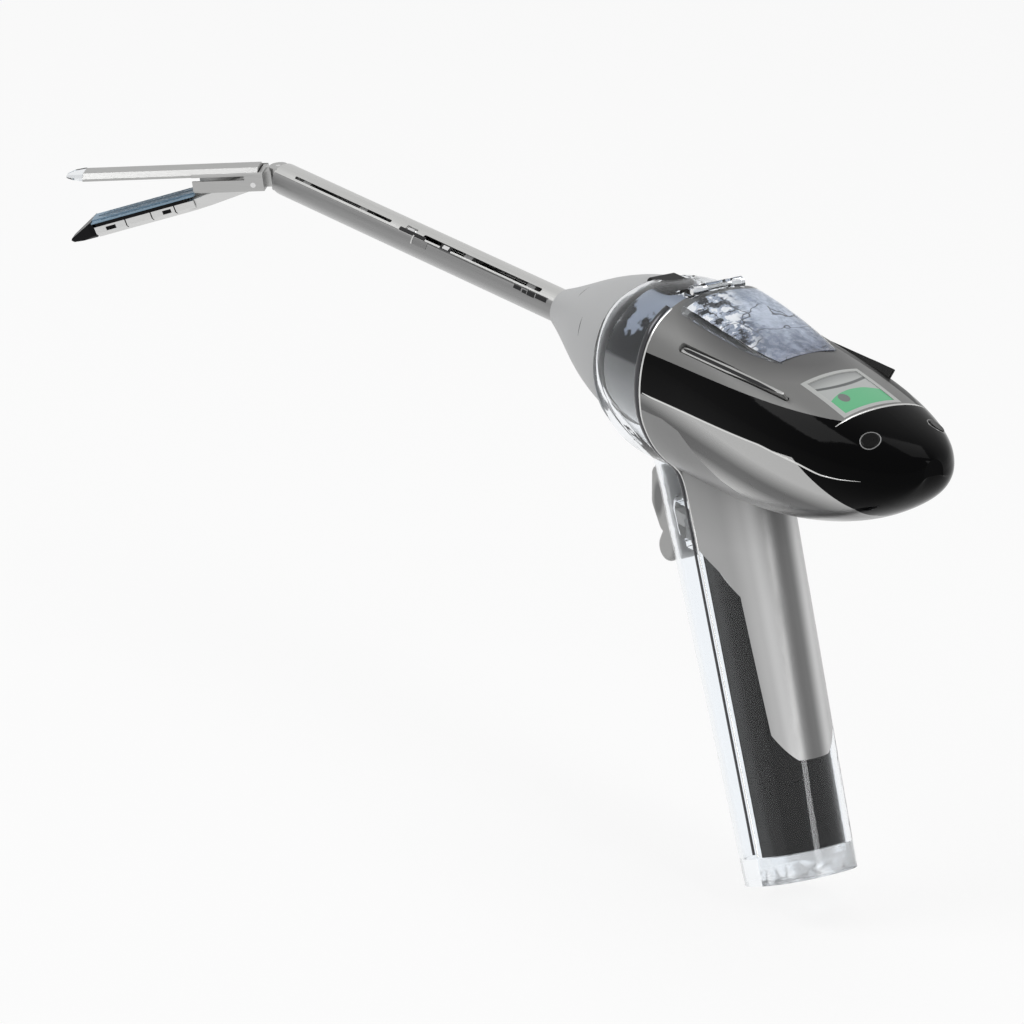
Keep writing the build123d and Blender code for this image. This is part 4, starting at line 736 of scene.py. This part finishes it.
# painted highlight: a thin bright line along the rear of the grey deck, higher in its middle, found from above
# and behind
deckRearHighlightLook = {"x": 183.0, "z": 13.8, "rise": 9.0 / 46.2, "low": 14.0, "crown": 2.4, "power": 2.4, "reach": 17.6,
            "points": 60, "back": (20.0, 0.0, 40.0), "shareY": (14, 17.5), "share": (1.0, 0.3), "half": 0.4,
            "proud": 0.22, "sunk": 0.2, "material": "brightTrimAndHighlight", "body": "handle", "slot": "bright_steel"}
deckSurface = surfaceTree(("deck_cover", "housing_left", "housing_right"))
y = np.linspace(-deckRearHighlightLook["reach"], deckRearHighlightLook["reach"], deckRearHighlightLook["points"])
z = deckRearHighlightLook["low"] + deckRearHighlightLook["crown"] * (1 - (np.abs(y) / deckRearHighlightLook["reach"]) ** deckRearHighlightLook["power"])
x = deckRearHighlightLook["x"] + (z - deckRearHighlightLook["z"]) * deckRearHighlightLook["rise"]
back = np.array(deckRearHighlightLook["back"])
starts = np.stack([x, y, z], axis=1) + back
spots, normals = seat(deckSurface, starts, np.tile(-back / np.linalg.norm(back), (len(y), 1)))
share = np.interp(np.abs(spots[:, 1]), deckRearHighlightLook["shareY"], deckRearHighlightLook["share"])
strip("deckRearHighlight", spots, normals, deckRearHighlightLook, share)
print("stage: trim lines laid")

# dark strip along the top of each rocker bar, between its two bright edges
rockerLook = {"start": (104.0, 23.5, 18.6), "end": (156.5, 20.6, 16.2), "points": 40, "above": 12.0,
              "shareAt": (0, 0.04, 0.8, 1), "share": (0.3, 1.0, 1.0, 0.2), "half": 0.62, "proud": 0.06,
              "sunk": 0.15, "material": "inkDark", "slot": "button_black"}
for side, tag in bothSides:
    line = np.linspace(rockerLook["start"], rockerLook["end"], rockerLook["points"]) * [1, side, 1]
    outward = line * [0, 1, 1]
    outward /= np.linalg.norm(outward, axis=1)[:, None]
    rocker = "rocker_" + tag
    spots, normals = seat(surfaceTree((rocker,)), line + outward * rockerLook["above"], -outward)
    share = np.interp(np.linspace(0, 1, len(spots)), rockerLook["shareAt"], rockerLook["share"])
    strip("rockerDarkStrip_" + tag, spots, normals, {**rockerLook, "body": rocker}, share)

# thin ring round each end button
ringLook = {"radius": 3.35, "outward": (0.331, 0.4535, 0.8275), "points": 49, "above": 15.0, "half": 0.22,
            "proud": 0.14, "sunk": 0.12, "material": "trimGrey", "body": "handle", "slot": "silver_satin"}
housingSurface = surfaceTree(("housing_left", "housing_right"))
for side, tag in bothSides:
    low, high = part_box("end_button_" + tag)
    middle = (np.array(low) + np.array(high)) / 2 / mm
    outward = np.array(ringLook["outward"]) * [1, side, 1]
    outward /= np.linalg.norm(outward)
    first = np.cross(outward, [0.0, 0.0, 1.0])
    first /= np.linalg.norm(first)
    second = np.cross(outward, first)
    turn = np.linspace(0, 2 * pi, ringLook["points"])[:, None]
    rim = middle + ringLook["radius"] * (np.cos(turn) * first + np.sin(turn) * second)
    spots, normals = seat(housingSurface, rim + outward * ringLook["above"], np.tile(-outward, (len(rim), 1)))
    strip("buttonRing_" + tag, spots, normals, ringLook)
print("stage: buttons and rockers trimmed")


# crumpled blue-grey film inside the clear hump, a sheet from one x to another
filmLook = {"x": (93.0, 108.0, 124.0, 146.0), "crown": (32.0, 30.6, 27.4, 22.0),
            "narrow": (0.0, 0.3, 1.0, 4.5), "halfWidth": 16.5, "depth": 3.0, "power": 2.4,
            "deckX": 87.0, "deckZ": 30.0, "deckFall": 0.13, "deckHalf": 28.5, "from": 94.5, "to": 142.5,
            "inset": 1.6, "rows": 120, "columns": 90, "below": 0.35, "above": 0.15, "least": 0.1,
            "share": 0.72, "fold": 0.22, "thick": 0.1}
foldLook = {"folds": 9, "seed": 7, "length": 16.0, "shorter": 0.55, "weaker": 0.6, "bend": 0.8,
            "bendX": 0.21, "bendY": 0.13}


def atStations(key, x):
    # a cubic through the values at the four stations
    return np.polyval(np.polyfit(filmLook["x"], filmLook[key], 3), x)


def bulge(y, halfWidth):
    # superellipse: 1 in the middle and 0 at the half width
    power = filmLook["power"]
    return np.clip(1 - (np.abs(y) / halfWidth) ** power, 0, None) ** (1 / power)


def humpHeights(x, y):
    # the hump bulges from its foot below the deck's top to its crown, and the deck from the axis to its top
    deckTop = filmLook["deckZ"] - filmLook["deckFall"] * (x - filmLook["deckX"])
    foot = deckTop - filmLook["depth"]
    hump = foot + (atStations("crown", x) - foot) * bulge(y, filmLook["halfWidth"] - atStations("narrow", x))
    return hump, deckTop * bulge(y, filmLook["deckHalf"])


def foldedNoise(x, y):
    # creases: 1 less the absolute value of slanted, bent sine waves of random direction and phase, each
    # wave shorter and weaker than the last, summed and brought to a peak of 1
    chance = np.random.default_rng(foldLook["seed"])
    total = np.zeros_like(x)
    for step in range(foldLook["folds"]):
        direction, phase = chance.uniform(0, pi), chance.uniform(0, 2 * pi)
        length = foldLook["length"] / (1 + foldLook["shorter"] * step)
        bend = foldLook["bend"] * np.sin(x * foldLook["bendX"] + y * foldLook["bendY"] + phase)
        wave = np.sin((x * cos(direction) + y * sin(direction)) * 2 * pi / length + phase + bend)
        total += (1 - np.abs(wave)) / (1 + foldLook["weaker"] * step)
    return total / total.max()


# edges of the soft steps come with their widths
filmTone = {
    "turn": radians(-24.0), "stretch": (0.35, 1.6, 1.6), "cloud": 85.0, "fine": 420.0, "fineShare": 0.35,
    "pale": (0.70, 0.20), "white": (0.92, 0.03), "rear": (0.126, 0.030),
    "crumpled": (-0.0345, 0.006), "crumpleSlope": -0.35,
    "flake": 260.0, "glintEdge": (0.54, 0.03), "creaseShadeEdge": (0.45, 0.04),
    "warp": 70.0, "warpReach": 0.016, "cells": 60.0, "line": (0.012, 0.012), "patch": 48.0,
    "patchy": (0.52, 0.06), "roughness": 0.12, "roughFine": 0.3, "bump": 0.0004,
    "deepColors": ((0.27, 0.31, 0.39), (0.12, 0.135, 0.18)),
    "lightColors": ((0.56, 0.61, 0.70), (0.27, 0.30, 0.38)), "streakHighlightColor": (0.86, 0.88, 0.91),
    "glintAndCreaseColors": ((0.025, 0.027, 0.032), (0.82, 0.83, 0.85)), "lineColor": (0.07, 0.075, 0.09)}


def filmMaterial(tone):
    # pale blue-grey streaks that darken to the rear, with white painted highlights; painted glints and dark
    # painted shade in the creases where the sheet is most crumpled, at its front and along its left edge; thin
    # dark lines on some warped cell edges
    material, tree, shader, place = startMaterial("crumpledFilm", (0.33, 0.37, 0.45))
    axes = splitAxes(tree, place)
    turned = tree.nodes.new("ShaderNodeMapping")
    turned.inputs["Rotation"].default_value = (0.0, 0.0, tone["turn"])
    turned.inputs["Scale"].default_value = tone["stretch"]
    tree.links.new(place, turned.inputs["Vector"])
    cloud = noiseOn(tree, turned.outputs[0], tone["cloud"], 6.0, 0.6)
    fine = noiseOn(tree, place, tone["fine"], 4.0, 0.6)
    both = calc(tree, "MULTIPLY_ADD", fine, tone["fineShare"], cloud)
    rear = softStep(tree, axes[0], *tone["rear"])
    deep = mixColor(tree, rear, *tone["deepColors"])
    light = mixColor(tree, rear, *tone["lightColors"])
    streaks = mixColor(tree, softStep(tree, both, *tone["pale"]), deep, light)
    streaks = mixColor(tree, softStep(tree, both, *tone["white"]), streaks, tone["streakHighlightColor"])
    flake = noiseOn(tree, place, tone["flake"], 3.0, 0.6)
    glintsAndCreases = mixColor(tree, softStep(tree, flake, *tone["creaseShadeEdge"]), tone["glintAndCreaseColors"][0], streaks)
    glintsAndCreases = mixColor(tree, softStep(tree, flake, *tone["glintEdge"]), glintsAndCreases, tone["glintAndCreaseColors"][1])
    leftward = calc(tree, "MULTIPLY", axes[1], -1.0)
    sideEdge = calc(tree, "MULTIPLY_ADD", axes[0], tone["crumpleSlope"], leftward)
    sheet = mixColor(tree, softStep(tree, sideEdge, *tone["crumpled"]), streaks, glintsAndCreases)
    noise = tree.nodes.new("ShaderNodeTexNoise")
    noise.inputs["Scale"].default_value = tone["warp"]
    tree.links.new(place, noise.inputs["Vector"])
    warp = tree.nodes.new("ShaderNodeVectorMath")
    warp.operation = "MULTIPLY_ADD"
    tree.links.new(noise.outputs["Color"], warp.inputs[0])
    warp.inputs[1].default_value = (tone["warpReach"],) * 3
    tree.links.new(place, warp.inputs[2])
    edges = cellsOn(tree, warp.outputs[0], tone["cells"], "DISTANCE_TO_EDGE")
    line = softStep(tree, edges["Distance"], *tone["line"])
    patchy = softStep(tree, noiseOn(tree, place, tone["patch"], 2.0), *tone["patchy"])
    kept = calc(tree, "MAXIMUM", line, patchy)
    tree.links.new(mixColor(tree, kept, tone["lineColor"], sheet), shader.inputs["Base Color"])
    rough = calc(tree, "MULTIPLY_ADD", fine, tone["roughFine"], tone["roughness"])
    tree.links.new(rough, shader.inputs["Roughness"])
    tree.links.new(bumpFrom(tree, both, tone["bump"]), shader.inputs["Normal"])
    return material


def makeFilm():
    # rows along the barrel, columns across; the sheet lies between the deck and the outside of the hump,
    # at a share of the room there, less up to the fold
    along = np.linspace(filmLook["from"], filmLook["to"], filmLook["rows"])[:, None]
    halfWidth = filmLook["halfWidth"] - filmLook["inset"] - atStations("narrow", along)
    across = np.linspace(-1, 1, filmLook["columns"])[None, :] * halfWidth
    x = along + 0 * across
    hump, deck = humpHeights(x, across)
    room = np.clip(hump - deck - filmLook["below"], filmLook["least"], None)
    creased = filmLook["share"] - filmLook["fold"] + filmLook["fold"] * foldedNoise(x, across)
    points = np.stack([x, across, deck + filmLook["above"] + room * creased], axis=-1)
    piece = makePiece("crumpledFilm", points, filmMaterial(filmTone), "handle", loop=False)
    wall = piece.modifiers.new("wall", "SOLIDIFY")
    wall.thickness = filmLook["thick"] * mm
    wall.offset = -1.0


makeFilm()
print("stage: film laid in the hump")

# marks on the shaft: a seam between its half shells, a slot, the reload's latch, a small window and a
# rail with its blocks; each from one x to another, from one angle above -y to another, and how proud
shaftLook = {"radius": 6.0, "sunk": 0.12, "rows": 12, "columns": 7}
shaftMarks = {
    "shaftSeamFront": (-186.0, -101.5, 34.0, 37.0, 0.01, "trimGrey", "steel"),
    "shaftSlot": (-101.0, -84.0, 36.0, 50.0, 0.03, "inkDark", "button_black"),
    "reloadLatch": (-90.5, -81.5, 12.0, 35.0, 0.10, "trimGrey", "steel"),
    "latchArc": (-91.4, -90.6, 10.0, 40.0, 0.16, "brightTrimAndHighlight", "bright_steel"),
    "windowFrame": (-74.0, -67.2, 35.0, 58.0, 0.05, "inkDark", "button_black"),
    "windowPane": (-72.6, -68.8, 40.0, 53.0, 0.09, "windowWhite", "bezel"),
    "shaftRail": (-84.0, -4.0, 32.0, 36.5, 0.06, "darkSteel", "steel"),
    "railShine": (-66.0, -27.0, 37.0, 39.5, 0.08, "brightTrimAndHighlight", "bright_steel"),
    "railBlock_0": (-25.0, -20.5, 20.0, 32.0, 0.08, "inkDark", "button_black"),
    "railBlock_1": (-19.5, -17.0, 18.0, 29.0, 0.08, "inkDark", "button_black"),
    "railBlock_2": (-16.4, -12.0, 17.0, 33.0, 0.08, "inkDark", "button_black"),
    "railBlock_3": (-11.2, -4.6, 19.0, 34.0, 0.08, "inkDark", "button_black"),
}


def shaftMark(name, start, end, low, high, proud, material, slot):
    # a thin curved plate: an arc out on the shaft and back inside it, repeated along x
    x = np.linspace(start, end, shaftLook["rows"])
    angle = np.radians(np.linspace(low, high, shaftLook["columns"]))
    ray = np.stack([-np.cos(angle), np.sin(angle)], axis=1)
    arc = np.concatenate([ray * (shaftLook["radius"] + proud),
                          ray[::-1] * (shaftLook["radius"] - shaftLook["sunk"])])
    points = np.concatenate([np.repeat(x[:, None, None], len(arc), axis=1),
                             np.repeat(arc[None], len(x), axis=0)], axis=2)
    makePiece(name, points, finish[material], "adapter")


for markName, mark in shaftMarks.items():
    shaftMark(markName, *mark)

# narrow slits on the nose cone, on both sides, each from one x and z to another
slitLook = {"slits": (((39.0, 11.0), (40.4, 5.2)), ((24.2, 15.6), (23.2, 12.6))), "points": 14, "ends": 0.25,
            "half": 0.28, "proud": 0.03, "sunk": 0.1, "material": "inkDark", "body": "adapter",
            "slot": "button_black"}
coneSurface = surfaceTree(("nose_cone",))
for number, (first, last) in enumerate(slitLook["slits"]):
    for side, tag in bothSides:
        x, z = np.linspace(first, last, slitLook["points"]).T
        spots, normals = seat(coneSurface, *fromSide(side, x, z))
        share = np.sin(np.linspace(slitLook["ends"], pi - slitLook["ends"], len(spots)))
        strip("coneSlit_%d_%s" % (number, tag), spots, normals, slitLook, share)
print("stage: shaft and cone marked")


studioLook = {
    "aim": (0.08, 0.0, -0.03),        # in the barrel, over the grip
    "lamps": {                        # place, size and power
        "keyLamp": ((-0.9, -1.3, 1.5), (1.1, 1.1), 17.0),
        "sideLamp": ((1.5, 0.1, 0.5), (0.35, 1.2), 7.0),
        "topLamp": ((0.2, 0.4, 1.9), (1.4, 0.9), 9.0),
    },
    "worldLevel": 0.42, "floorDrop": 0.004, "floorHalf": 14.0, "floorColor": (0.92, 0.92, 0.92),
    "whiteShare": 0.86,               # of the floor that the camera sees; the rest keeps the shadow
}


def softLamp(name, place, size, power):
    data = bpy.data.lights.new(name, "AREA")
    data.shape = "RECTANGLE"
    data.size, data.size_y = size
    data.energy = power
    lamp = bpy.data.objects.new(name, data)
    lamp.location = place
    direction = Vector(studioLook["aim"]) - Vector(place)
    lamp.rotation_euler = direction.to_track_quat("-Z", "Y").to_euler()
    bpy.context.scene.collection.objects.link(lamp)


def seenOrLit(tree, lit, seen):
    # lit for diffuse light, seen for the camera, mirrors and clear plastic
    path = tree.nodes.new("ShaderNodeLightPath")
    first = calc(tree, "MAXIMUM", path.outputs["Is Camera Ray"], path.outputs["Is Glossy Ray"])
    chosen = calc(tree, "MAXIMUM", first, path.outputs["Is Transmission Ray"])
    mix = tree.nodes.new("ShaderNodeMixShader")
    tree.links.new(chosen, mix.inputs[0])
    tree.links.new(lit, mix.inputs[1])
    tree.links.new(seen, mix.inputs[2])
    return mix.outputs[0]


def makeWorld():
    # pale light on the object, plain white behind it
    world = bpy.data.worlds.new("studioWorld")
    world.use_nodes = True
    tree = world.node_tree
    tree.nodes.clear()
    out = tree.nodes.new("ShaderNodeOutputWorld")
    lit = tree.nodes.new("ShaderNodeBackground")
    lit.inputs["Strength"].default_value = studioLook["worldLevel"]
    seen = tree.nodes.new("ShaderNodeBackground")
    seen.inputs["Strength"].default_value = 1.0
    tree.links.new(seenOrLit(tree, lit.outputs[0], seen.outputs[0]), out.inputs[0])
    bpy.context.scene.world = world


def makeFloor():
    # a wide flat sheet just under the object; part plain white, part matt so that it keeps the shadow
    height = cadBox[0][2] - studioLook["floorDrop"]
    half = studioLook["floorHalf"]
    mesh = bpy.data.meshes.new("floor")
    corners = [(-half, -half, height), (half, -half, height), (half, half, height), (-half, half, height)]
    mesh.from_pydata(corners, [], [(0, 1, 2, 3)])
    floor = bpy.data.objects.new("floor", mesh)
    bpy.context.scene.collection.objects.link(floor)
    material = bpy.data.materials.new("paleFloor")
    material.use_nodes = True
    tree = material.node_tree
    tree.nodes.clear()
    out = tree.nodes.new("ShaderNodeOutputMaterial")
    matt = tree.nodes.new("ShaderNodeBsdfDiffuse")
    matt.inputs["Color"].default_value = (*studioLook["floorColor"], 1.0)
    glow = tree.nodes.new("ShaderNodeEmission")
    mix = tree.nodes.new("ShaderNodeMixShader")
    mix.inputs[0].default_value = studioLook["whiteShare"]
    tree.links.new(matt.outputs[0], mix.inputs[1])
    tree.links.new(glow.outputs[0], mix.inputs[2])
    tree.links.new(seenOrLit(tree, matt.outputs[0], mix.outputs[0]), out.inputs[0])
    mesh.materials.append(material)


photoView = {
    "azimuth": radians(57.0), "elevation": radians(19.5),
    "distance": 2.2,             # from the camera to the origin of the row frame, along its line of sight
    "picture": 1024.0,           # picture elements across and down
    "focal": 6402.0,             # focal length in picture elements
    "originAcross": 566.5, "originDown": 309.0,   # where the row frame's origin lies in the picture
    "sensor": 36.0, "reach": 50.0,
}


def makeCamera(view):
    # the camera's axes from azimuth and elevation, and its place from where the origin has to appear
    turn, rise = view["azimuth"], view["elevation"]
    right = Vector((cos(turn), sin(turn), 0.0))
    back = Vector((sin(turn) * cos(rise), -cos(turn) * cos(rise), sin(rise)))
    up = back.cross(right)
    half = view["picture"] / 2
    across = (view["originAcross"] - half) / view["focal"] * view["distance"]
    upward = (half - view["originDown"]) / view["focal"] * view["distance"]
    place = back * view["distance"] - right * across - up * upward
    data = bpy.data.cameras.new("photoCamera")
    data.sensor_width = view["sensor"]
    data.lens = view["focal"] / view["picture"] * view["sensor"]
    data.clip_end = view["reach"]
    camera = bpy.data.objects.new("photoCamera", data)
    camera.matrix_world = Matrix.Translation(place) @ Matrix((right, up, back)).transposed().to_4x4()
    bpy.context.scene.collection.objects.link(camera)
    bpy.context.scene.camera = camera


for lampName, lamp in studioLook["lamps"].items():
    softLamp(lampName, *lamp)
makeWorld()
makeFloor()
makeCamera(photoView)
bpy.context.scene.view_settings.view_transform = "Standard"
print("stage: light, floor and camera set")
